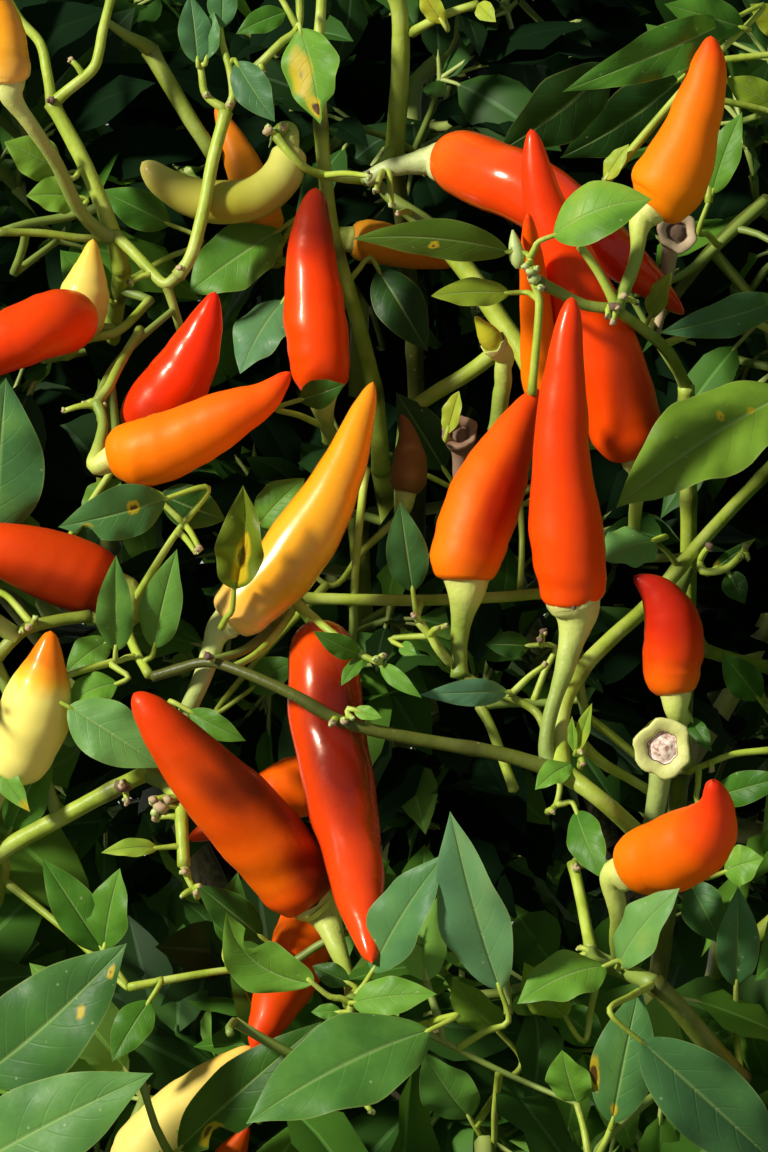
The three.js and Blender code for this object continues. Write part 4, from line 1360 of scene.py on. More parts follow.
def stalk(pile_, line, rim, width, tone=0.0, teeth=5, open_cup=False, mat=0, dark=None, sides=20):
    """A stalk from its node to the calyx. line starts at the fruit."""
    path = even(smooth(line[::-1], 0.8), max(24, int(lengths(smooth(line, 2.0))[-1] / 0.55)))
    s = lengths(path)
    left = s[-1] - s  # how far each ring is from the fruit
    r0 = width / 2
    cone = np.interp(
        left,
        [0, 0.6, 1.6, 3.0, 4.5, 6.5, 8.5, 12.5, 17.0, 60.0],
        [rim, 0.95 * rim, 0.87 * rim, 0.75 * rim, 0.63 * rim, max(0.51 * rim, r0 * 1.12), max(0.44 * rim, r0 * 1.08),
         max(0.36 * rim, r0 * 1.03), r0, r0],
    )
    start = 1 + 0.35 * np.exp(-s / 1.5)
    a = np.linspace(0, 2 * math.pi, sides, endpoint=False)
    near = np.clip(1 - left / 3.0, 0, 1)[:, None]
    relief = (1 + 0.05 * near * np.cos(teeth * a)[None]) * (
        1 + 0.03 * wobble((len(path), sides), 11 + int(rim * 10), ((3, 3, 1), (6, 5, 0.6)))
    )
    t, n, b = carried(path)
    out = t[-1]
    # the rim goes on over the shoulder of the fruit, in small teeth
    points_before = pile_.count
    skin(pile_, path, cone * start, sides, relief=relief, ends=(True, False), dome=0.3, mat=mat,
         along=np.clip(1 - left / max(s[-1], 1e-6), 0, 1) ** 1.2, tone=tone)
    ring_n, ring_b = n[-1], b[-1]
    c, sn = np.cos(a)[:, None], np.sin(a)[:, None]
    radial = c * ring_n + sn * ring_b
    tooth = (0.5 + 0.5 * np.cos(teeth * a))[:, None]
    r1 = cone[-1] * (1 + 0.05 * np.cos(teeth * a + 0.4) + 0.03 * np.cos(2 * a + 1.0))[:, None]
    if open_cup:
        r1 = r1 * (1 + 0.05 * np.cos(3 * a + 2.2) + 0.02 * np.cos(11 * a))[:, None]
    if open_cup:
        steps = [(1.02, 0.3), (1.0, 0.7), (0.93, 0.85), (0.80, 0.7), (0.66, 0.45), (0.55, 0.1), (0.52, -0.4), (0.46, -0.45),
                 (0.34, 0.05), (0.14, 0.2)]
    else:
        steps = [(1.01, 0.3), (1.03, 0.6), (1.01, 0.78), (0.94, 0.55), (0.80, 0.0)]
    rings = [path[-1] + radial * r1]
    for k_, d in steps:
        lift = d + (0.8 * tooth * (d > 0.4) if not open_cup else 0.25 * tooth * (d > 0.4))
        rings.append(path[-1] + radial * r1 * k_ + out * lift)
    pts = np.vstack(rings)
    k = np.arange(sides)
    rows = np.arange(len(rings) - 1)[:, None] * sides
    quads = np.stack([rows + k, rows + (k + 1) % sides, rows + sides + (k + 1) % sides, rows + sides + k], -1).reshape(-1, 4)
    end = len(pts)
    pts = np.vstack([pts, (path[-1] + out * steps[-1][1])[None]])
    base = (len(rings) - 1) * sides
    tris = np.stack([np.full(sides, end), base + k, base + (k + 1) % sides], -1)
    mats_q = mat
    if dark is not None:
        mats_q = np.repeat(np.array([mat] * 6 + [dark[0]] + [dark[1]] * 3), sides)
    pile_.add(pts, quads, tris, mats_q, dark[1] if dark is not None else mat, along=1.0, tone=tone)
    return path, cone


fruit_boxes = []
for i, (name, look, shape, width, axis, stem_line, stem_width) in enumerate(FRUITS):
    middle = axis[len(axis) // 2]
    radius = width / 2 * (DISTANCE + middle[2]) / FOCAL
    line = [at(*p) for p in axis]
    # the stalk meets the fruit along the fruit's own axis
    away = unit(line[0] - line[1])
    stem_3d = [line[0] + away * 0.2] + [line[0] + away * 3.2] + [at(*p) for p in stem_line[2:]]
    pile = Pile()
    rim = RIM[name]
    path, r = fruit(pile, line, radius, shape, 300 + i, rim=rim * 0.97, spots=TURNING_AND_PAINTED_SHADE.get(name, ()),
                    round_={"centre": 0.5, "right_curved": 1.25, "yellow_orange": 1.15, "low_left": 1.0, "hanging": 1.1, "young": 0.4}.get(name, 0.9),
                    lumps_={"yellow_orange": 0.042, "left_orange": 0.035, "hanging": 0.05, "young": 0.0, "left_low_red": 0.006,
                           "right_curved": 0.015, "low_left": 0.026}.get(name, 0.034))
    # tone pales the stalk towards cream: the calyx's own pale colour on lying_back, painted light on yellow_orange
    stem_path, cone = stalk(pile, stem_3d, radius * rim, stem_width * (DISTANCE + axis[0][2]) / FOCAL, mat=1,
                            tone={"lying_back": 0.6, "yellow_orange": 0.3, "left_low_yellow": 0.3, "top_left": 0.15, "centre": 0.12}.get(name, 0.04))
    tie(stem_path[0], min(1.0, stem_width * (DISTANCE + axis[0][2]) / FOCAL / 2), behind=0.3)
    SK.add(stem_path[: len(stem_path) // 3], 1.2)
    ob = pile.piece("fruit_" + name, [FRUIT[look], STALK], keep=("along", "tone"))
    fruit_boxes.append((path, r))

cups = Pile()
for i, (mouth, towards, width, line, kind) in enumerate(CUPS):
    k = (DISTANCE + mouth[2]) / FOCAL
    m = at(*mouth)
    back = unit(np.array(towards))
    line3 = [m, m - back * 2.2, m - back * 4.2] + [at(*p) for p in line[2:]]
    stem_path, cone = stalk(cups, line3, width / 2 * k, [20, 9, 16][kind] * k, tone=0.25 if kind == 0 else 0.0,
                            teeth=6, open_cup=True, mat=[0, 1, 4][kind], dark=[(2, 3), (2, 2), (2, 2)][kind], sides=36)
    tie(stem_path[0], 1.2, behind=0.5)
CUP_FLOOR, t = blank("cup_floor")
b = put(t, "ShaderNodeBsdfPrincipled", {
    "Base Color": ramp(t, noise(t, 900.0, 3.0, 0.6), [(0.36, (0.30, 0.17, 0.10)), (0.5, (0.80, 0.60, 0.46)), (0.64, (0.94, 0.86, 0.74))]),
    "Roughness": 0.55,
})
put(t, "ShaderNodeOutputMaterial", {"Surface": b.outputs[0]})
ob = cups.piece(
    "empty_calyx_cups",
    [STALK, plain("cup_tan", (0.46, 0.35, 0.20), 0.7), SCAR_DARK, CUP_FLOOR, plain("cup_brown", (0.24, 0.14, 0.08), 0.75)],
    keep=("along", "tone"),
)

# ------------------------------------------------------------- front leaves
# base, tip, width in pixels, roll in degrees, fold, arch, tone, illness, extras
# (to: where its stalk starts, warm: how yellow its green is, cool: how much a painted bluish sky sheen tints it)
SHAPES = [
    ("a01", (-6, 540, 20), (6, 378, 12), 92, 10, 0.15, 0.05, 0.36, 0.0, {"cool": 0.25, "shades_": [(0.25, 0.2, 0.12, 0.6, 0.28), (0.75, -0.2, 0.12, 0.6, 0.28)]}),
    ("a02", (166, 499, 8), (58, 527, 4), 54, -28, 0.25, 0.16, 0.36, 0.0, {"cool": 0.2, "bites": [(0.76, 1, 0.07, 0.7)], "marks": [(0.32, -0.1, 0.035, 0.16, 1.2), (0.32, -0.1, 0.09, 0.35, 0.45), (0.75, 0.6, 0.1, 0.5, 0.5)]}),
    ("a03", (116, 651, 8), (116, 555, -4), 38, 22, 0.5, 0.03, 0.52, 0.0, {"cool": 0.12}),
    ("a04", (154, 648, 8), (177, 549, -4), 43, 15, 0.45, 0.05, 0.54, 0.0, {"cool": 0.12}),
    ("a05", (234, 589, -1), (243, 485, -8), 48, -18, 1.3, 0.02, 0.20, 0.0, {"to": (221, 628, 4), "rows": 32, "sickle": -0.05, "warm": 0.42, "wave": 0.2, "marks": [(0.36, -0.04, 0.19, 0.36, 0.80), (0.33, -0.05, 0.07, 0.16, 0.75), (0.52, -0.2, 0.10, 0.16, 0.45), (0.14, -0.2, 0.12, 0.5, 0.5)]}),
    ("a06", (258, 526, 17), (305, 478, 16), 42, 10, 0.2, 0.1, 0.56, 0.0, {}),
    ("a07", (160, 494, 12), (226, 520, 14), 44, 10, 0.2, 0.1, 0.12, 0.0, {}),
    ("a08", (68, 706, 2), (162, 768, 0), 62, -15, 0.15, 0.08, 0.72, 0.0, {"cool": 0.3, "quilt": 0.12}),
    ("a09", (118, 683, 6), (66, 708, 6), 34, 10, 0.3, 0.15, 0.62, 0.0, {}),
    ("a10", (189, 711, 6), (246, 741, 4), 27, 20, 0.3, 0.1, 0.52, 0.0, {}),
    ("a11", (361, 655, 0), (313, 631, -4), 24, -20, 0.25, 0.12, 0.34, 0.0, {}),
    ("a12", (362, 658, 0), (341, 686, -3), 15, 10, 0.3, 0.05, 0.5, 0.0, {}),
    ("a13", (354, 710, -4), (382, 718, -6), 15, -10, 0.4, 0.05, 0.75, 0.0, {}),
    ("a14", (380, 664, -1), (422, 698, -5), 18, 5, 0.35, 0.1, 0.6, 0.0, {}),
    ("a15", (413, 592, 12), (400, 502, 8), 42, -12, 0.3, 0.08, 0.16, 0.0, {"cool": 0.12}),
    ("a16", (508, 692, 6), (419, 695, 0), 28, -20, 0.2, 0.12, 0.42, 0.0, {"cool": 0.65, "quilt": 0.14}),
    ("a17", (530, 646, 14), (485, 645, 12), 27, 30, 0.2, 0.1, 0.08, 0.0, {}),
    ("a18", (509, 252, 10), (352, 239, 5), 40, -24, 0.2, 0.10, 0.26, 0.0, {"sickle": -0.07, "warm": 0.18, "shades_": [(0.6, 0.5, 0.5, 0.5, -0.12)], "marks": [(0.49, 0.35, 0.025, 0.16, 1.2), (0.49, 0.35, 0.05, 0.25, 0.3)]}),
    ("a19", (553, 236, 8), (652, 199, 3), 58, -8, 0.22, 0.14, 0.78, 0.0, {"blunt": 0.15, "wave": 0.02, "shades_": [(0.5, -0.75, 0.6, 0.45, -0.34)]}),
    ("a20", (510, 293, 13), (431, 296, 10), 29, -18, 0.2, 0.08, 0.80, 0.0, {"blunt": 0.3, "warm": 0.6, "marks": [(0.95, 0, 0.15, 2, 0.35)]}),
    ("a21", (605, 180, 30), (629, 144, 28), 19, 0, 0.3, 0.05, 0.88, 0.0, {}),
    ("a22", (728, 22, 26), (562, 92, 14), 50, -22, 0.3, 0.12, 0.34, 0.0, {"rows": 34, "wave": 0.2, "quilt": 0.14}),
    ("a23", (744, 28, 26), (664, 4, 22), 40, -10, 0.2, 0.08, 0.4, 0.0, {}),
    ("a24", (778, 300, 34), (658, 333, 26), 40, -25, 0.2, 0.12, 0.26, 0.0, {"cool": 0.3, "quilt": 0.16, "wave": 0.14}),
    ("a25", (790, 392, 20), (616, 508, 8), 90, 6, 0.3, 0.06, 0.60, 0.0, {"rows": 46, "warm": 0.30, "quilt": 0.12, "shades_": [(0.68, 0.6, 0.4, 0.4, 0.14)], "marks": [(0.43, -0.34, 0.022, 0.06, 1.4), (0.355, -0.26, 0.018, 0.05, 1.2), (0.39, -0.30, 0.07, 0.13, 0.42), (0.22, -0.02, 0.03, 0.08, 0.7)]}),
    ("a26", (655, 541, 16), (604, 560, 10), 44, 12, 0.15, 0.1, 0.66, 0.0, {"blunt": 0.6, "cool": 0.3}),
    ("a27", (576, 811, -4), (606, 881, -12), 38, 10, 0.2, 0.1, 0.46, 0.0, {}),
    ("a28", (571, 764, -2), (535, 790, -6), 26, 0, 0.35, 0.1, 0.66, 0.0, {}),
    ("a29", (500, 990, -24), (450, 811, -34), 68, 10, 0.62, 0.03, 0.78, 0.0, {"rows": 26, "cool": 0.6, "shades_": [(0.5, 0.7, 0.6, 0.45, -0.3)]}),
    ("a30", (372, 972, -22), (446, 853, -30), 56, -18, 0.4, 0.06, 0.46, 0.0, {"cool": 0.35}),
    ("a31", (606, 966, -22), (517, 1004, -28), 50, 12, 0.2, 0.12, 0.62, 0.0, {}),
    ("a32", (618, 966, -20), (680, 888, -28), 46, -10, 0.25, 0.08, 0.70, 0.0, {"cool": 0.3}),
    ("a33", (612, 1124, -28), (640, 985, -32), 64, 14, 0.3, 0.05, 0.42, 0.0, {"cool": 0.25, "shades_": [(0.5, 0.2, 0.25, 0.3, 0.3)], "marks": [(0.3, 0.88, 0.085, 0.15, 1.25), (0.34, 0.85, 0.16, 0.26, 0.5), (0.10, 0.0, 0.05, 0.22, 0.8)]}),
    ("a34", (640, 1040, -40), (790, 1178, -30), 84, -8, 0.35, 0.06, 0.26, 0.0, {"rows": 26, "cool": 0.25, "shades_": [(0.5, 0.6, 0.4, 0.5, 0.14)]}),
    ("a35", (690, 882, 4), (724, 945, -2), 44, 20, 0.25, 0.05, 0.30, 0.0, {"cool": 0.15}),
    ("a36", (736, 986, -2), (738, 886, -10), 44, 25, 0.4, 0.04, 0.30, 0.0, {"cool": 0.25}),
    ("a37", (712, 798, 4), (790, 776, -2), 34, 0, 0.3, 0.1, 0.34, 0.0, {}),
    ("a38", (724, 872, 8), (764, 858, 4), 40, 10, 0.2, 0.1, 0.74, 0.0, {}),
    ("a39", (577, 1103, -26), (562, 1050, -30), 44, 0, 0.25, 0.05, 0.60, 0.0, {}),
    ("a40", (-24, 1080, -22), (127, 943, -30), 98, -14, 0.3, 0.05, 0.30, 0.0, {"rows": 30, "cool": 0.12, "sickle": -0.04, "marks": [(0.62, -0.35, 0.025, 0.08, 1.3), (0.62, -0.35, 0.06, 0.2, 0.5), (0.86, -0.5, 0.03, 0.2, 1.0)]}),
    ("a41", (-44, 1176, -38), (153, 1073, -48), 94, 10, 0.15, 0.06, 0.50, 0.0, {"rows": 26, "cool": 0.2}),
    ("a42", (314, 984, -26), (226, 912, -30), 56, -12, 0.35, -0.1, 0.62, 0.0, {"sickle": 0.22, "bites": [(0.62, -1, 0.10, 0.75)]}),
    ("a43", (178, 1150, -8), (322, 1021, -18), 62, -20, 0.25, 0.05, 0.20, 0.0, {"rows": 26, "bites": [(0.22, -1, 0.06, 0.6)], "marks": [(0.2, -0.6, 0.08, 0.4, 1.1)]}),
    ("a44", (430, 1030, -34), (246, 1124, -44), 92, 8, 0.2, 0.1, 0.46, 0.0, {"rows": 26, "cool": 0.1}),
    ("a45", (352, 1003, -25), (437, 994, -30), 40, 0, 0.25, 0.1, 0.66, 0.0, {}),
    ("a46", (350, 984, -20), (312, 966, -18), 24, 15, 0.3, 0.1, 0.22, 0.0, {}),
    ("a47", (342, 1012, -23), (311, 1012, -22), 16, 0, 0.3, 0.1, 0.50, 0.0, {}),
    ("a48", (158, 848, -2), (101, 853, -4), 19, -10, 0.35, 0.12, 0.86, 0.0, {}),
    ("a49", (104, 952, 6), (42, 858, 4), 46, 20, 0.35, 0.05, 0.42, 0.0, {}),
    ("a50", (104, 950, 5), (120, 868, 2), 42, -10, 0.35, 0.05, 0.50, 0.0, {}),
    ("a51", (-4, 762, 8), (30, 812, 4), 24, 0, 0.4, 0.05, 0.66, 0.0, {"marks": [(0.9, 0, 0.2, 2, 0.7)]}),
    ("a52", (10, 832, 16), (52, 752, 14), 46, 0, 0.2, 0.08, 0.50, 0.0, {}),
    ("a53", (236, 62, 50), (275, 122, 46), 38, 16, 0.35, 0.06, 0.24, 0.0, {"cool": 0.3}),
    ("a54", (300, 28, 50), (320, 124, 46), 56, 10, 0.3, 0.03, 0.62, 0.0, {"sickle": 0.06, "bites": [(0.86, 1, 0.08, 0.6)], "marks": [(0.52, -0.42, 0.40, 0.45, 0.72), (0.84, -0.1, 0.09, 0.6, 0.7), (0.88, 0.1, 0.05, 0.3, 0.9)]}),
    ("a55", (198, 64, 50), (190, -6, 50), 34, 20, 0.35, 0.05, 0.30, 0.0, {"cool": 0.35}),
    ("a56", (206, 60, 50), (214, 12, 50), 24, -20, 0.35, 0.05, 0.42, 0.0, {"cool": 0.35}),
    ("a57", (222, 28, 51), (224, -26, 50), 30, 0, 0.35, 0.05, 0.34, 0.0, {"cool": 0.35}),
    ("a58", (286, 12, 52), (236, 34, 50), 26, 0, 0.3, 0.1, 0.44, 0.0, {}),
    ("a59", (712, 194, 52), (742, 112, 50), 34, 10, 0.3, 0.08, 0.56, 0.1, {}),
    ("a60", (650, 318, 42), (672, 272, 38), 22, 0, 0.4, 0.05, 0.84, 0.0, {}),
    ("a61", (728, 572, 28), (745, 604, 24), 26, 10, 0.3, 0.05, 0.14, 0.0, {}),
    ("a62", (712, 570, 30), (756, 538, 26), 14, 0, 0.3, 0.05, 0.10, 0.3, {}),
    ("a63", (690, 718, 6), (712, 752, 2), 18, 0, 0.35, 0.08, 0.26, 0.0, {}),
    ("a64", (447, 434, 28), (459, 391, 26), 19, 0, 0.6, 0.0, 0.88, 0.0, {"blunt": 0.5, "warm": 0.2, "to": (452, 442, 30)}),
    ("a65", (576, 752, -2), (592, 703, -8), 15, 10, 0.5, 0.0, 0.86, 0.0, {}),
    ("a66", (574, 752, -2), (572, 716, -6), 10, -10, 0.5, 0.0, 0.80, 0.0, {}),
    ("a67", (400, 645, 8), (417, 655, 5), 15, 0, 0.3, 0.1, 0.56, 0.0, {}),
    ("a68", (444, 24, 60), (420, -14, 58), 22, 0, 0.4, 0.05, 0.95, 0.3, {}),
    ("a69", (478, 4, 60), (496, 22, 56), 20, 0, 0.4, 0.05, 0.94, 0.2, {}),
    ("a70", (60, 172, 50), (4, 142, 46), 44, 10, 0.3, 0.1, 0.66, 0.15, {"warm": 0.2}),
    ("a71", (80, 198, 50), (26, 196, 46), 38, -10, 0.3, 0.1, 0.66, 0.1, {"warm": 0.2}),
    ("a72", (566, 1018, -14), (524, 962, -18), 40, 0, 0.3, 0.08, 0.80, 0.0, {"warm": 0.3}),
    ("a73", (280, 230, 60), (190, 292, 58), 62, 0, 0.2, 0.05, 0.54, 0.0, {"blunt": 0.5}),
    ("a74", (284, 300, 58), (240, 374, 52), 50, 20, 0.2, 0.08, 0.5, 0.0, {"cool": 0.5}),
    ("a75", (300, 400, 40), (345, 384, 36), 30, 10, 0.2, 0.1, 0.2, 0.0, {}),
    ("b01", (680, 80, 58), (560, 158, 62), 58, -30, 0.2, 0.08, -0.2, 0.0, {}),
    ("b20", (610, 66, 50), (498, 152, 52), 64, -30, 0.2, 0.08, -0.3, 0.0, {}),
    ("b02", (778, 108, 60), (724, 78, 58), 34, 0, 0.2, 0.08, 0.74, 0.0, {"warm": 0.6}),
    ("b03", (792, 34, 56), (750, 4, 54), 32, 0, 0.2, 0.08, 0.90, 0.0, {"warm": 0.8}),
    ("b04", (444, 470, 66), (396, 392, 62), 46, 0, 0.2, 0.08, 0.02, 0.0, {}),
    ("b05", (378, 270, 70), (428, 352, 66), 50, 0, 0.2, 0.08, 0.02, 0.0, {}),
    ("b06", (470, 1118, -8), (424, 1052, -14), 54, 0, 0.25, 0.08, 0.52, 0.0, {"cool": 0.1}),
    ("b07", (498, 1032, -4), (452, 976, -10), 40, 0, 0.25, 0.08, 0.72, 0.0, {"warm": 0.25}),
    ("b08", (110, 300, 66), (60, 250, 62), 44, 0, 0.25, 0.08, 0.42, 0.0, {}),
    ("b09", (170, 225, 66), (100, 190, 64), 40, 0, 0.25, 0.08, 0.46, 0.0, {}),
    ("b10", (300, 560, 50), (250, 520, 48), 40, 0, 0.25, 0.08, 0.34, 0.0, {}),
    ("b11", (110, 640, 30), (66, 672, 28), 34, 0, 0.25, 0.08, 0.56, 0.0, {}),
    ("b12", (86, 520, 40), (122, 478, 38), 36, 0, 0.25, 0.08, 0.50, 0.0, {"warm": 0.1}),
    ("b13", (250, 690, 40), (296, 660, 38), 36, 0, 0.25, 0.08, 0.50, 0.0, {}),
    ("b14", (560, 1010, 8), (606, 1046, 4), 40, 0, 0.25, 0.08, 0.44, 0.0, {}),
    ("b15", (760, 700, 40), (722, 652, 38), 36, 0, 0.25, 0.08, 0.34, 0.0, {}),
    ("b17", (262, 938, 6), (196, 884, 2), 40, 0, 0.25, 0.08, 0.16, 0.0, {}),
    ("b18", (226, 944, 8), (238, 872, 4), 34, 0, 0.25, 0.08, 0.34, 0.0, {}),
    ("b19", (150, 1000, -2), (112, 1062, -6), 38, 0, 0.25, 0.08, 0.40, 0.0, {}),
    ("b16", (440, 540, 60), (470, 500, 58), 36, 0, 0.25, 0.08, 0.30, 0.0, {}),
]


def front_leaf(spec, seed):
    name, base, tip, width, roll, fold, arch, tone, ill, more = spec
    b, t = at(*base), at(*tip)
    depth = (base[2] + tip[2]) / 2
    ax = unit(t - b)
    towards = unit(EYE - (b + t) / 2)
    s0 = unit(np.cross(ax, towards)) * -1
    n0 = np.cross(ax, s0)
    if n0 @ towards < 0:
        s0 = -s0
        n0 = np.cross(ax, s0)
    # a bright leaf is one whose face is turned towards the light
    sunward = math.atan2(-(s0 @ TO_LIGHT), n0 @ TO_LIGHT)
    sunward = min(max(sunward, -0.9), 0.9)
    a = math.radians(roll) * 0.6 + np.interp(tone, [0.1, 0.3, 0.5, 0.7], [-0.15, 0.1, 0.42, 0.6]) * sunward
    a = min(max(a, -0.85), 0.85)
    side = s0 * math.cos(a) + n0 * math.sin(a)
    true = width * (DISTANCE + depth) / FOCAL / math.cos(a)
    pile_ = Pile()
    rng_ = np.random.default_rng(seed)
    more = dict(more)
    rows = more.pop("rows", 26)
    more.pop("to", None)
    wave, quilt = more.pop("wave", 0.08), more.pop("quilt", 0.06)
    more["age"], more["along"] = more.pop("warm", 0.0), more.pop("cool", 0.0)
    pts = leaf(pile_, b, t, side, true, rows=rows, cols=12, fold=fold, arch=arch, wave=wave, quilt=quilt,
               rng=rng_, mats=(0, 0), tone=tone, ill=ill, curl=0.12, **more)
    return name, pile_, b, ax, np.cross(ax, side)


leaf_keep = ("lu", "lv", "tone", "ill", "age", "along")
front_points = []
for i, spec in enumerate(SHAPES):
    name, pile, b, ax, up = front_leaf(spec, 500 + i)
    q, qr, far = SK.nearest(b, behind=0.6)
    if "to" in spec[-1]:
        q, qr = at(*spec[-1]["to"]), 1.0
        far = np.linalg.norm(b - q)
    if far > qr + 0.3:
        # the leaf's stalk leaves the nearest stem and comes in along the blade
        mid = b - ax * min(8.0, 0.45 * far)
        line = smooth([q, q + (mid - q) * 0.55 + np.array([0, 0, 0.04 * far]), mid, b + ax * 1.5], 1.6)
        r = np.linspace(min(1.0, 0.6 + 0.01 * far), 0.42, len(line))
        skin(front, line, r, 7, ends=(True, True), dome=0.4, age=0.0, tone=0.12)
        SK.add(line[1:-2], 0.7)
    p = pile.points[0]
    lu, lv = pile.facts["lu"][0], pile.facts["lv"][0]
    uv = np.stack([0.02 + 0.96 * lu, 0.5 + 0.48 * lv], -1)
    ob = pile.piece("leaf_front_" + name, [LEAF], keep=leaf_keep, uv=uv)
    front_points.append(p)

# ------------------------------------------------------- scars, buds, flowers
SCARS = [
    (230, 104, 49, 9, 0), (207, 95, 50, 8, 0), (268, 131, 52, 11, 0), (284, 126, 53, 8, 0), (263, 71, 51, 6, 0),
    (180, 268, 46, 8, 0), (131, 282, 48, 7, 1), (52, 100, 53, 9, 2), (71, 60, 53, 7, 0),
    (534, 279, 7, 13, 1), (530, 272, 6, 10, 1), (541, 288, 7, 9, 1), (526, 266, 8, 8, 1), (536, 270, 7, 8, 1),
    (613, 322, 12, 8, 0), (614, 307, 11, 11, 2), (624, 296, 12, 8, 0), (636, 302, 14, 7, 1), (608, 316, 12, 7, 1),
    (332, 723, -6, 8, 0), (344, 722, -6, 8, 0), (352, 718, -6, 6, 1), (208, 656, 0, 10, 2), (199, 548, 6, 8, 0), (196, 553, 6, 5, 0),
    (121, 786, 3, 15, 2), (122, 786, 1.6, 9, 0), (127, 801, 4, 8, 0), (160, 808, 1, 16, 0), (153, 800, 1, 10, 0), (168, 800, 1, 10, 0), (156, 818, 2, 9, 0), (176, 803, 2, 9, 2),
    (184, 872, -5, 8, 0), (196, 893, -6, 7, 0), (200, 886, -6, 5, 0), (182, 896, -5, 5, 1),
    (414, 616, 4, 7, 0), (446, 626, 4, 6, 0), (438, 628, 4, 5, 0), (543, 632, 6, 8, 2), (545, 665, 4, 7, 0), (540, 640, 5, 7, 2),
    (581, 752, -3, 7, 0), (583, 764, -3, 6, 0), (746, 546, 24, 7, 0), (742, 556, 25, 6, 1), (748, 559, 25, 5, 1),
    (574, 608, -5.4, 5, 2), (579, 948, 4, 6, 0), (577, 868, 15, 8, 0), (432, 1024, -26, 9, 1), (436, 1030, -26, 7, 0),
    (104, 404, 24, 7, 0), (64, 411, 23, 6, 0), (86, 404, 24, 8, 0), (28, 628, 8, 8, 0), (22, 632, 8, 6, 1), (36, 618, 9, 6, 1),
    (553, 812, -6, 5, 0), (372, 1112, -30, 7, 1), (712, 770, 4, 6, 0), (710, 546, 26, 9, 2), (376, 659, -3, 8, 1), (384, 655, -3, 6, 0),
    (369, 176, 44, 8, 1), (376, 190, 45, 7, 1), (392, 205, 48, 7, 1), (398, 214, 48, 6, 0),
]
for i, (px, py, d, w, kind) in enumerate(SCARS):
    p = at(px, py, d)
    r = w * (DISTANCE + d) / FOCAL / 2
    q, qr, far = SK.nearest(p)
    if far > qr + r * 0.8 and far < 30 and (px, py) != (574, 608):
        line = smooth([q, (p + q) / 2 + [0, 0, 0.5], p], 1.5)
        skin(front, line, np.linspace(0.7, 0.5, len(line)), 7, ends=(True, True), age=0.0, tone=0.1)
    ball(knobs, p, r, mat=kind, seed=900 + i, squeeze=(1, 0.9, 0.85), lumpy=0.28)
    for j in range(2):
        rr = np.random.default_rng(2000 + 7 * i + j)
        ball(knobs, p + unit(rr.normal(size=3)) * r * 0.8, r * 0.55, mat=[0, 1, 2, 0][(kind + j) % 3], seed=1300 + 5 * i + j, lumpy=0.3)


def bud(p, towards, length, width, pile_=knobs, mat=1):
    a = unit(np.asarray(towards, float))
    line = p + a * np.linspace(0, length, 9)[:, None]
    r = width / 2 * np.array([0.45, 0.8, 1.0, 1.0, 0.92, 0.8, 0.62, 0.38, 0.12])
    skin(pile_, line, r, 8, ends=(True, True), mat=mat, dome=0.3)


bud(at(519, 268, 11), UP * 0.9 + RIGHT * -0.15, 7.0, 3.0)
bud(at(608, 176, 33), UP * 0.8 + RIGHT * 0.5, 3.5, 2.0)

# ------------------------------------------------------ foliage in the masses
MASSES = [
    ("mass_top_back", (-4, 80, 366), (54, 44, 50)),
    ("mass_top_left", (-100, 26, 350), (46, 52, 46)),
    ("mass_top_right", (104, 30, 358), (48, 52, 50)),
    ("mass_top_left_front", (-98, -72, 330), (36, 40, 38)),
    ("mass_top_right_front", (104, -74, 334), (38, 40, 40)),
    ("mass_front", (6, -150, 288), (60, 44, 44)),
    ("mass_heart", (4, 10, 272), (58, 60, 42)),
    ("mass_ring_front_left", (-92, -140, 244), (50, 46, 50)),
    ("mass_ring_left", (-168, -26, 262), (48, 56, 54)),
    ("mass_ring_back_left", (-124, 106, 270), (54, 52, 54)),
    ("mass_ring_back", (4, 166, 272), (62, 44, 58)),
    ("mass_ring_back_right", (130, 104, 266), (54, 54, 54)),
    ("mass_ring_right", (172, -18, 258), (46, 58, 54)),
    ("mass_ring_front_right", (106, -136, 240), (52, 48, 50)),
    ("mass_skirt_front", (2, -132, 180), (56, 42, 46)),
    ("mass_skirt_left", (-118, -32, 158), (50, 58, 46)),
    ("mass_skirt_back_left", (-62, 104, 160), (56, 46, 48)),
    ("mass_skirt_back_right", (76, 98, 152), (52, 48, 46)),
    ("mass_skirt_right", (120, -42, 160), (50, 56, 46)),
]
lo, hi = (np.array(c, float) / MM for c in CAD_BOX)
room = 0.03 * (hi - lo) + 9.0
LIMIT_LO, LIMIT_HI = lo - room, hi + room
LIMIT_LO[2] = 20.0

# What the front view shows nearest in each cell, so that nothing grown at
# random hides it.
CELL = 8
cover = np.full((1152 // CELL + 8, 768 // CELL + 8), 1e9)


def mark(points, margin=0):
    px, py, d = seen(points)
    cx, cy = (px // CELL).astype(int) + 4, (py // CELL).astype(int) + 4
    for dx in range(-margin, margin + 1):
        for dy in range(-margin, margin + 1):
            x, y = cx + dx, cy + dy
            ok = (x >= 0) & (y >= 0) & (x < cover.shape[1]) & (y < cover.shape[0])
            np.minimum.at(cover, (y[ok], x[ok]), d[ok])


for p in front_points:
    mark(p)
for p in front.points + tubes:
    mark(p)
for path, r in fruit_boxes:
    a = np.linspace(0, 2 * math.pi, 10, endpoint=False)
    for f in (0.0, 0.5, 1.0):
        ring = path[:, None] + (r[:, None, None] * f) * (np.cos(a)[None, :, None] * RIGHT + np.sin(a)[None, :, None] * UP)
        mark(ring.reshape(-1, 3), 0)


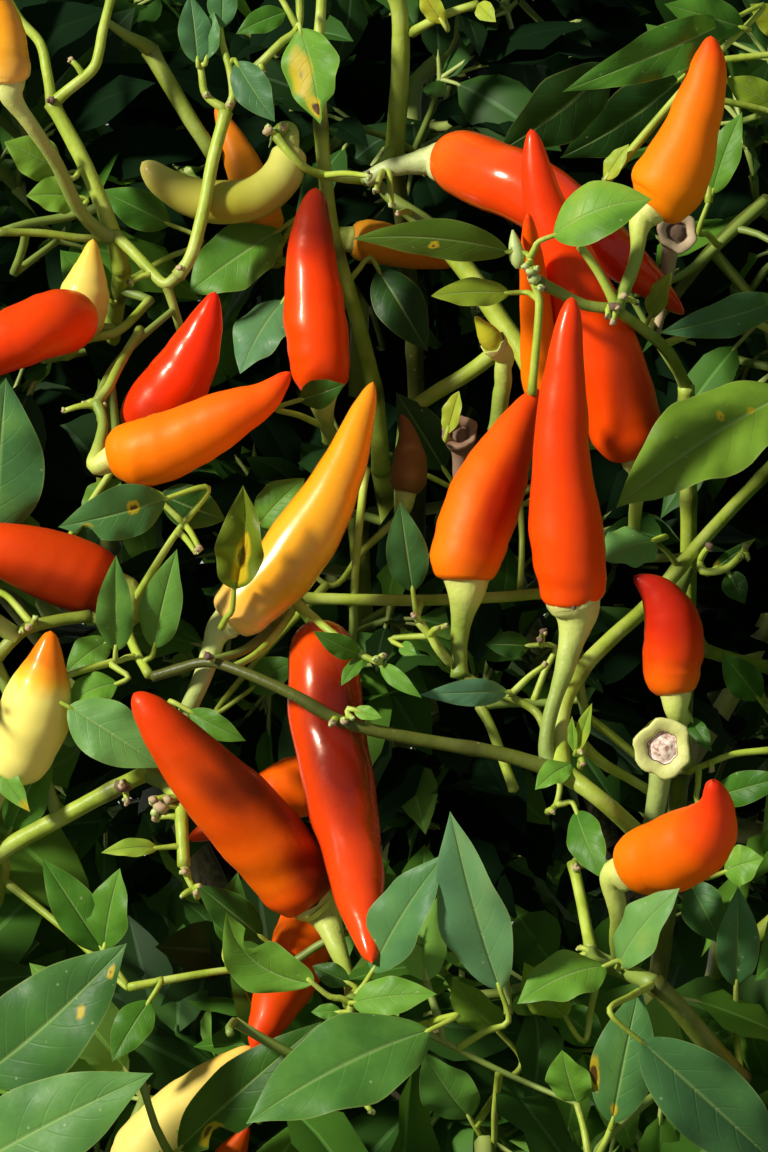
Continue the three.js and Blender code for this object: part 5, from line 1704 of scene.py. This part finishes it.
def free(points, py_open=760, open_depth=66):
    """Whether a leaf may stand here without hiding what the front view shows."""
    px, py, d = seen(points)
    inside = (px > -24) & (px < 792) & (py > -24) & (py < 1176)
    if not inside.any():
        return True
    cx, cy = (px // CELL).astype(int) + 4, (py // CELL).astype(int) + 4
    cx, cy = np.clip(cx, 0, cover.shape[1] - 1), np.clip(cy, 0, cover.shape[0] - 1)
    if (inside & (d < cover[cy, cx] + 1.0) & (cover[cy, cx] < 1e8)).any():
        return False
    # the upper part stays open in front, and the bottom is leafy
    need = np.interp(py, [py_open, py_open + 170], [open_depth, -34.0])
    return not (inside & (d < need)).any()


# The same for the light, so that nothing grown at random shades the front.
LIGHT_X = unit(np.cross([0.0, 0.0, 1.0], TO_LIGHT))
LIGHT_Y = np.cross(TO_LIGHT, LIGHT_X)
sunny = np.full((260, 260), -1e9)


def light_cell(points):
    ix = (points @ LIGHT_X / 4).astype(int) + 130
    iy = (points @ LIGHT_Y / 4).astype(int) + 130
    return np.clip(iy, 0, 259), np.clip(ix, 0, 259)


for p in front_points + front.points + tubes:
    np.maximum.at(sunny, light_cell(p), p @ TO_LIGHT)
for path, r in fruit_boxes:
    a = np.linspace(0, 2 * math.pi, 10, endpoint=False)
    for f in (0.0, 0.5, 1.0):
        ring = path[:, None] + (r[:, None, None] * f) * (
            np.cos(a)[None, :, None] * LIGHT_X + np.sin(a)[None, :, None] * LIGHT_Y
        )
        ring = ring.reshape(-1, 3)
        np.maximum.at(sunny, light_cell(ring), ring @ TO_LIGHT)


def shades(points):
    return (points @ TO_LIGHT > sunny[light_cell(points)]).any() and (
        sunny[light_cell(points)][points @ TO_LIGHT > sunny[light_cell(points)]] > -1e8
    ).any()


def in_view(p, margin=0):
    px, py, d = seen(p)
    return -margin < px < 768 + margin and -margin < py < 1152 + margin


# Patches of the hollow whose leaves get ordinary, lit-looking tones instead of the painted shade: middle, reach, share.
SUNLIT = [
    ((150, 40), (110, 60), 0.8), ((40, 190), (70, 60), 0.8), ((230, 245), (60, 50), 0.9), ((255, 345), (50, 60), 0.9),
    ((120, 560), (140, 90), 0.85), ((250, 700), (90, 70), 0.6), ((60, 830), (100, 90), 0.8), ((440, 640), (120, 70), 0.7),
    ((470, 720), (100, 40), 0.6), ((600, 90), (70, 40), 0.2), ((735, 160), (50, 80), 0.8), ((740, 380), (50, 60), 0.6),
    ((740, 760), (60, 60), 0.6), ((390, 300), (60, 70), 0.35), ((420, 500), (60, 50), 0.4),
]


def sunlit(px, py):
    return max(s * math.exp(-(((px - c[0]) / r[0]) ** 2 + ((py - c[1]) / r[1]) ** 2) ** 1.5) for c, r, s in SUNLIT)


rng = np.random.default_rng(11)
grown_grids = []
leaf_piles = {}
made_fruit = Pile()
grown = []
for k, (mass, centre, radii) in enumerate(MASSES):
    centre, radii = np.array(centre, float), np.array(radii, float)
    # the limbs that enter this mass are where it starts
    inside = np.linalg.norm((SK.points - centre) / (radii * 1.05), axis=1) < 1.0
    nodes = [SK.points[i] for i in np.flatnonzero(inside)[::6]]
    if not nodes:
        q, _, _ = SK.nearest(centre)
        nodes = [q]
    parents = [-1] * len(nodes)
    order = [0.0] * len(nodes)
    n0 = len(nodes)
    tries = 0
    want = 66 if "top" in mass or "front" in mass or "heart" in mass else 56
    while len(nodes) < n0 + want and tries < 1500:
        tries += 1
        u = unit(rng.normal(size=3))
        aim = centre + u * radii * rng.uniform(0.35, 0.95) ** (1 / 2.2)
        arr = np.array(nodes)
        d = np.linalg.norm(arr - aim, axis=1) + 0.25 * np.maximum(0, arr[:, 2] - aim[2])
        j = int(np.argmin(d))
        gap = np.linalg.norm(aim - arr[j])
        if gap < 9:
            continue
        step = min(gap, rng.uniform(15, 26))
        new = arr[j] + unit(aim - arr[j] + [0, 0, 0.12 * gap]) * step
        if np.linalg.norm((new - centre) / radii) > 0.93:
            continue
        if np.min(np.linalg.norm(arr - new, axis=1)) < 10:
            continue
        if not free(new[None], open_depth=58):
            continue
        nodes.append(new)
        parents.append(j)
        order.append(order[j] + 1)
    # how much each twig carries decides how thick it is
    load = np.ones(len(nodes))
    for j in range(len(nodes) - 1, n0 - 1, -1):
        if parents[j] >= 0:
            load[parents[j]] += load[j]
    grown.append((mass, centre, radii, nodes, parents, load, n0))
    for j in range(n0, len(nodes)):
        p, q = nodes[j], nodes[parents[j]]
        r1 = 0.62 * load[j] ** 0.36
        r0 = 0.62 * (load[j] + 0.6) ** 0.36 * 1.12
        bend = rng.normal(size=3) * 0.05 * np.linalg.norm(p - q)
        line = smooth([q, (p + q) / 2 + bend, p], 6.0)
        rr = np.linspace(r0, r1, len(line)) * (1 + 0.25 * np.exp(-(np.linspace(0, 1, len(line)) - 1) ** 2 * 40))
        skin(twigs, line, rr, 6, mat=0 if load[j] < 5 else 1, ends=(False, True), dome=0.4)

twig_mats_seen = None
for mass, centre, radii, nodes, parents, load, n0 in grown:
    pile = Pile()
    height = centre[2]
    # lower and inner leaves get darker tones: partly older leaves, partly painted shade
    base_tone = np.interp(height, [150, 250, 330, 370], [0.9, 1.6, 2.5, 2.9])
    for j in range(n0, len(nodes)):
        p = nodes[j]
        q = nodes[parents[j]]
        grow = unit(p - q)
        out = unit((p - centre) / radii)
        shell = np.linalg.norm((p - centre) / radii)
        count = 3 if load[j] > 1 else 5
        if shell > 0.75:
            count += 1
        turn = rng.uniform(0, 6.28)
        for m in range(count):
            for attempt in range(3):
                a = turn + m * 2.4 + rng.normal() * 0.3
                side = unit(np.cross(grow, [0.31, 0.22, 0.92]))
                other = np.cross(grow, side)
                d = side * math.cos(a) + other * math.sin(a)
                d = unit(0.75 * d + 0.5 * out + 0.35 * grow + [0, 0, 0.12] + rng.normal(size=3) * 0.22)
                length = rng.uniform(20, 44) * (0.85 if load[j] <= 1 else 1.0)
                if in_view(p, 30):
                    length *= 0.78
                width = length * rng.uniform(0.42, 0.54)
                stalk_len = rng.uniform(4, 9)
                b = p + d * stalk_len
                droop = rng.uniform(0.05, 0.55)
                ax = unit(d - [0, 0, droop])
                t = b + ax * length
                if (np.minimum(b, t) < LIMIT_LO + 2).any() or (np.maximum(b, t) > LIMIT_HI - 2).any():
                    continue
                flat = np.cross(ax, [0, 0, 1])
                if np.linalg.norm(flat) < 0.2:
                    flat = np.cross(ax, out)
                sd = unit(flat)
                roll = rng.normal() * 0.45
                nn = np.cross(sd, ax)
                sd = unit(sd * math.cos(roll) + nn * math.sin(roll))
                probe = np.array([b, (b + t) / 2, t, (b + t) / 2 + sd * width / 2, (b + t) / 2 - sd * width / 2,
                                  b + (t - b) * 0.25 + sd * width * 0.4, b + (t - b) * 0.25 - sd * width * 0.4,
                                  b + (t - b) * 0.75 + sd * width * 0.3, b + (t - b) * 0.75 - sd * width * 0.3])
                if free(probe) and not shades(probe):
                    break
            else:
                continue
            tone = int(np.clip(round(base_tone + 0.9 * (shell - 0.6) + rng.normal() * 0.75), 0, 4))
            px, py, depth = seen(b)
            if in_view(b, 40):
                # the hollow of the crown, where the front view looks in, gets near-black tones: painted shade, with a
                # little of old leaves' own darker green
                if depth > 45 and py < 860:
                    if rng.random() < sunlit(px, py):
                        tone = int(rng.choice([1, 2, 3, 4], p=[0.22, 0.38, 0.28, 0.12]))
                    else:
                        tone = int(rng.choice([6, 0, 1, 2], p=[0.64, 0.22, 0.09, 0.05]))
                elif py > 820 and depth < 50:
                    tone = int(rng.choice([1, 2, 3, 4], p=[0.13, 0.32, 0.35, 0.20]))
            elif rng.random() < 0.025:
                tone = 5
            n_before = pile.count
            leaf(pile, b, t, -sd, width, rows=7, cols=6, fold=rng.uniform(0.1, 0.45), arch=rng.uniform(0.02, 0.12),
                 curl=rng.uniform(0, 0.25), sickle=rng.normal() * 0.03, wave=0.12, rng=rng, mats=(tone, 7 + tone))
            pts = pile.points[-1]
            np.clip(pts, LIMIT_LO, LIMIT_HI, out=pts)
            if in_view(pts[len(pts) // 2], 60):
                grown_grids.append((pts[1:-1], 6, 7))
            line = np.array([p, p + d * stalk_len * 0.6, b, b + ax * 2.0])
            skin(twigs, line, [0.62, 0.5, 0.48, 0.3], 4, ends=(False, False), mat=1)
        if load[j] <= 1:
            # a tuft of young leaves at the tip of each twig
            for m in range(2):
                d = unit(grow + rng.normal(size=3) * 0.6 + [0, 0, 0.3])
                length = rng.uniform(9, 17)
                t = p + d * length
                if (t > LIMIT_HI - 2).any() or (t < LIMIT_LO + 2).any() or not free(np.array([p, t])):
                    continue
                leaf(pile, p, t, np.cross(d, [0.2, 0.1, 1]), length * 0.42, rows=5, cols=4, fold=0.5, arch=0.05,
                     rng=rng, mats=((1, 1) if in_view(p, 20) and seen(p)[2] > 45 else (4, 4)), midrib=0)
    ob = pile.piece("leaves_" + mass[5:], FOLIAGE + RIBS)
    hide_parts(mass)
    leaf_piles[mass] = pile.triangles()

# Where the front view would still see between all leaves to the floor, more
# leaves grow behind, from the nearest twigs.
from mathutils import Vector
from mathutils.bvhtree import BVHTree


def corners(ob):
    mesh = ob.data
    mesh.calc_loop_triangles()
    p = np.empty(len(mesh.vertices) * 3, np.float32)
    mesh.vertices.foreach_get("co", p)
    f = np.empty(len(mesh.loop_triangles) * 3, np.int32)
    mesh.loop_triangles.foreach_get("vertices", f)
    return p.reshape(-1, 3), f.reshape(-1, 3)


def tree_of(groups):
    """A search tree of the triangles that the front view may show."""
    points, faces, start = [], [], 0
    for p, f in groups:
        px, py, _ = seen(p / MM)
        near = (px > -40) & (px < 808) & (py > -40) & (py < 1192)
        f = f[near[f].any(1)]
        points.append(p)
        faces.append(f + start)
        start += len(p)
    return BVHTree.FromPolygons(np.concatenate(points).tolist(), np.concatenate(faces).tolist())


eye = Vector(tuple(EYE * MM))


def ray_to(px, py):
    return Vector(tuple(unit(at(px, py) - EYE)))


everything = tree_of([corners(o) for o in bpy.data.objects if o.type == "MESH" and o.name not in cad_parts] + [
    (np.concatenate(pl.points) * MM, np.concatenate([f for q in pl.quads for f in (q[:, :3], q[:, [0, 2, 3]])] + pl.tris))
    for pl in (twigs, front)
])
# The floor is laid only later, so a ray that meets nothing would show it.
STEP = 3
holes = [(px, py) for py in range(-6, 1160, STEP) for px in range(-6, 776, STEP)
         if everything.ray_cast(eye, ray_to(px, py))[0] is None]
print("holes", len(holes))
stations = np.vstack([np.array(g[3][g[6] :]) for g in grown])
patch = Pile()
made = 0
for turn in range(6):
    if not holes:
        break
    order = rng.permutation(len(holes))
    here = []
    for h in order:
        px, py = holes[h]
        if here and (np.hypot(*(np.array(here) - (px, py)).T) < 34).any():
            continue
        ray = unit(at(px, py) - EYE)
        along_ray = (stations - EYE) @ ray
        off = np.linalg.norm((stations - EYE) - along_ray[:, None] * ray, axis=1)
        depth = along_ray * (ray @ FORWARD) - DISTANCE
        off = np.where(depth > (64 if py < 800 else 14), off, 1e9)
        for j in np.argsort(off)[:6]:
            if off[j] > 60:
                break
            q = stations[j]
            hit = EYE + along_ray[j] * ray
            gap = np.linalg.norm(hit - q)
            ax = unit(np.where(gap > 4, hit - q, 0) / max(gap, 1) + rng.normal(size=3) * 0.35)
            length = rng.uniform(27, 36) if py < 800 else rng.uniform(20, 28)
            b = hit - ax * length * 0.45
            t = b + ax * length
            sd = unit(np.cross(ax, ray) + rng.normal(size=3) * 0.2)
            ends = np.array([b, t])
            if (ends < LIMIT_LO + 2).any() or (ends > LIMIT_HI - 2).any():
                continue
            # in the upper part, leaves outside a sunlit patch get near-black painted-shade tones
            if rng.random() < sunlit(px, py):
                tone = int(rng.choice([0, 1, 2], p=[0.3, 0.4, 0.3] if py < 800 else [0.5, 0.35, 0.15]))
            elif py < 820:
                tone = int(rng.choice([6, 0, 1], p=[0.68, 0.22, 0.10]))
            else:
                tone = int(rng.choice([0, 1, 2], p=[0.6, 0.3, 0.1]))
            leaf(patch, b, t, sd, length * 0.52, rows=7, cols=6, fold=0.15, arch=0.05, rng=None, mats=(tone, 7 + tone))
            line = smooth([q, (q + b) / 2 + [0, 0, 0.05 * gap], b, b + ax * 2], 5.0)
            skin(patch, line, np.linspace(0.7, 0.45, len(line)), 4, ends=(False, False), mat=tone)
            here.append((px, py))
            made += 1
            break
    if not here:
        break
    added = tree_of([(np.concatenate(patch.points) * MM,
                      np.concatenate([f for q in patch.quads for f in (q[:, :3], q[:, [0, 2, 3]])] + patch.tris))])
    holes = [(px, py) for px, py in holes if added.ray_cast(eye, ray_to(px, py))[0] is None]
print("leaves behind", made, "holes left", len(holes))
if made:
    ob = patch.piece("leaves_behind", FOLIAGE + RIBS)

# fruits over the rest of the crown, upright above the leaves
tones = [
    ("grown_red", (0.78, 0.045, 0.006)),
    ("grown_red_orange", (0.88, 0.085, 0.005)),
    ("grown_orange", (0.92, 0.19, 0.005)),
    ("grown_amber", (0.9, 0.36, 0.03)),
    ("grown_yellow", (0.84, 0.66, 0.15)),
    ("grown_green", (0.16, 0.26, 0.04)),
]
berry = [plain(n, c, 0.28, 0.4) for n, c in tones]
berry.append(plain("grown_stalk", (0.26, 0.33, 0.07), 0.5))
placed = []
for mass, centre, radii, nodes, parents, load, n0 in grown:
    ends = [j for j in range(n0, len(nodes)) if np.linalg.norm((nodes[j] - centre) / radii) > 0.55]
    rng.shuffle(ends)
    count = 0
    for j in ends:
        if count >= (5 if "skirt" not in mass else 2):
            break
        p = nodes[j]
        out = unit(p - np.array([0, 0, 230.0]))
        d = unit(out * 0.45 + [0, 0, 0.85] + rng.normal(size=3) * 0.28)
        length, radius = rng.uniform(34, 56), rng.uniform(5.2, 7.2)
        foot = p + d * rng.uniform(12, 18)
        tip = foot + d * length
        bend = rng.normal(size=3) * 0.08 * length
        line = [foot, (foot + tip) / 2 + bend, tip]
        check = smooth(line, 8)
        if (check.max(0) > LIMIT_HI - 9).any() or (check.min(0) < LIMIT_LO + 9).any():
            continue
        wide = np.vstack([check, check + RIGHT * radius, check - RIGHT * radius])
        if any(in_view(c, 20) for c in wide) or shades(wide):
            continue
        if placed and min(np.linalg.norm(np.array(placed) - (foot + tip) / 2, axis=1)) < 26:
            continue
        placed.append((foot + tip) / 2)
        count += 1
        ripe = int(rng.choice([0, 1, 1, 2, 2, 3, 4, 5], p=[0.14, 0.16, 0.16, 0.14, 0.14, 0.1, 0.1, 0.06]))
        shape = [BULLET, SLENDER, FAT][rng.integers(0, 3)]
        fp, fr = fruit(made_fruit, line, radius, shape, 4000 + len(placed), lumps_=0.04, mat=ripe, lo=True)
        # the tip is riper than the base
        if ripe in (2, 3, 4):
            mats = made_fruit.quad_mats[-1]
            rings = len(mats) // 12
            cut = int(rings * rng.uniform(0.55, 0.75))
            mats = mats.copy()
            mats[cut * 12 :] = max(1, ripe - 1) if ripe != 4 else 2
            made_fruit.quad_mats[-1] = mats
        stalk(made_fruit, [foot, foot - d * 4, p + d * 2, p], radius * 0.62, 2.2, mat=6, sides=10)
ob = made_fruit.piece("grown_fruits", berry)

ob = twigs.piece("twigs", TWIG)
ob = front.piece("front_twigs", [STEM], keep=("age", "tone"))
ob = knobs.piece("flower_scars", [SCAR, BUD, SCAR_DARK])

# ------------------------------------------------------- floor, light, camera
bpy.ops.mesh.primitive_plane_add(size=8.0, location=(0, 0, 0))
floor = bpy.context.object
floor.name = "floor"
m, t = blank("floor_plain")
b = put(t, "ShaderNodeBsdfPrincipled", {"Base Color": (0.50, 0.49, 0.47, 1), "Roughness": 0.9})
put(t, "ShaderNodeOutputMaterial", {"Surface": b.outputs[0]})
floor.data.materials.append(m)

def lamp(name, towards, distance, size, power, colour=(1, 1, 1)):
    data = bpy.data.lights.new(name, "AREA")
    data.size = size
    data.energy = power
    data.color = colour
    ob = bpy.data.objects.new(name, data)
    bpy.context.scene.collection.objects.link(ob)
    target = Vector((0, -0.05, 0.30))
    ob.location = target + Vector(tuple(unit(np.array(towards)))) * distance
    ob.rotation_euler = (target - ob.location).to_track_quat("-Z", "Y").to_euler()
    return ob


lamp("key", TO_LIGHT, 2.4, 0.26, 90.0, (1.0, 0.96, 0.87))
lamp("fill", (0.7, -0.9, 0.5), 2.6, 1.8, 5.0, (0.90, 0.95, 1.0)).visible_glossy = False
world = bpy.data.worlds.new("studio")
bpy.context.scene.world = world
world.use_nodes = True
world.node_tree.nodes["Background"].inputs[0].default_value = (0.80, 0.90, 1.0, 1)
world.node_tree.nodes["Background"].inputs[1].default_value = 0.20
bpy.context.scene.view_settings.view_transform = "Standard"

cam_data = bpy.data.cameras.new("camera")
cam_data.sensor_width = 36.0
cam_data.sensor_fit = "AUTO"
cam_data.lens = FOCAL / 1152 * 36.0
cam_data.clip_start = 0.02
cam = bpy.data.objects.new("camera", cam_data)
bpy.context.scene.collection.objects.link(cam)
cam.location = Vector(tuple(EYE * MM))
cam.rotation_euler = (math.pi / 2 - PITCH, 0, 0)
bpy.context.scene.camera = cam

bpy.context.view_layer.update()
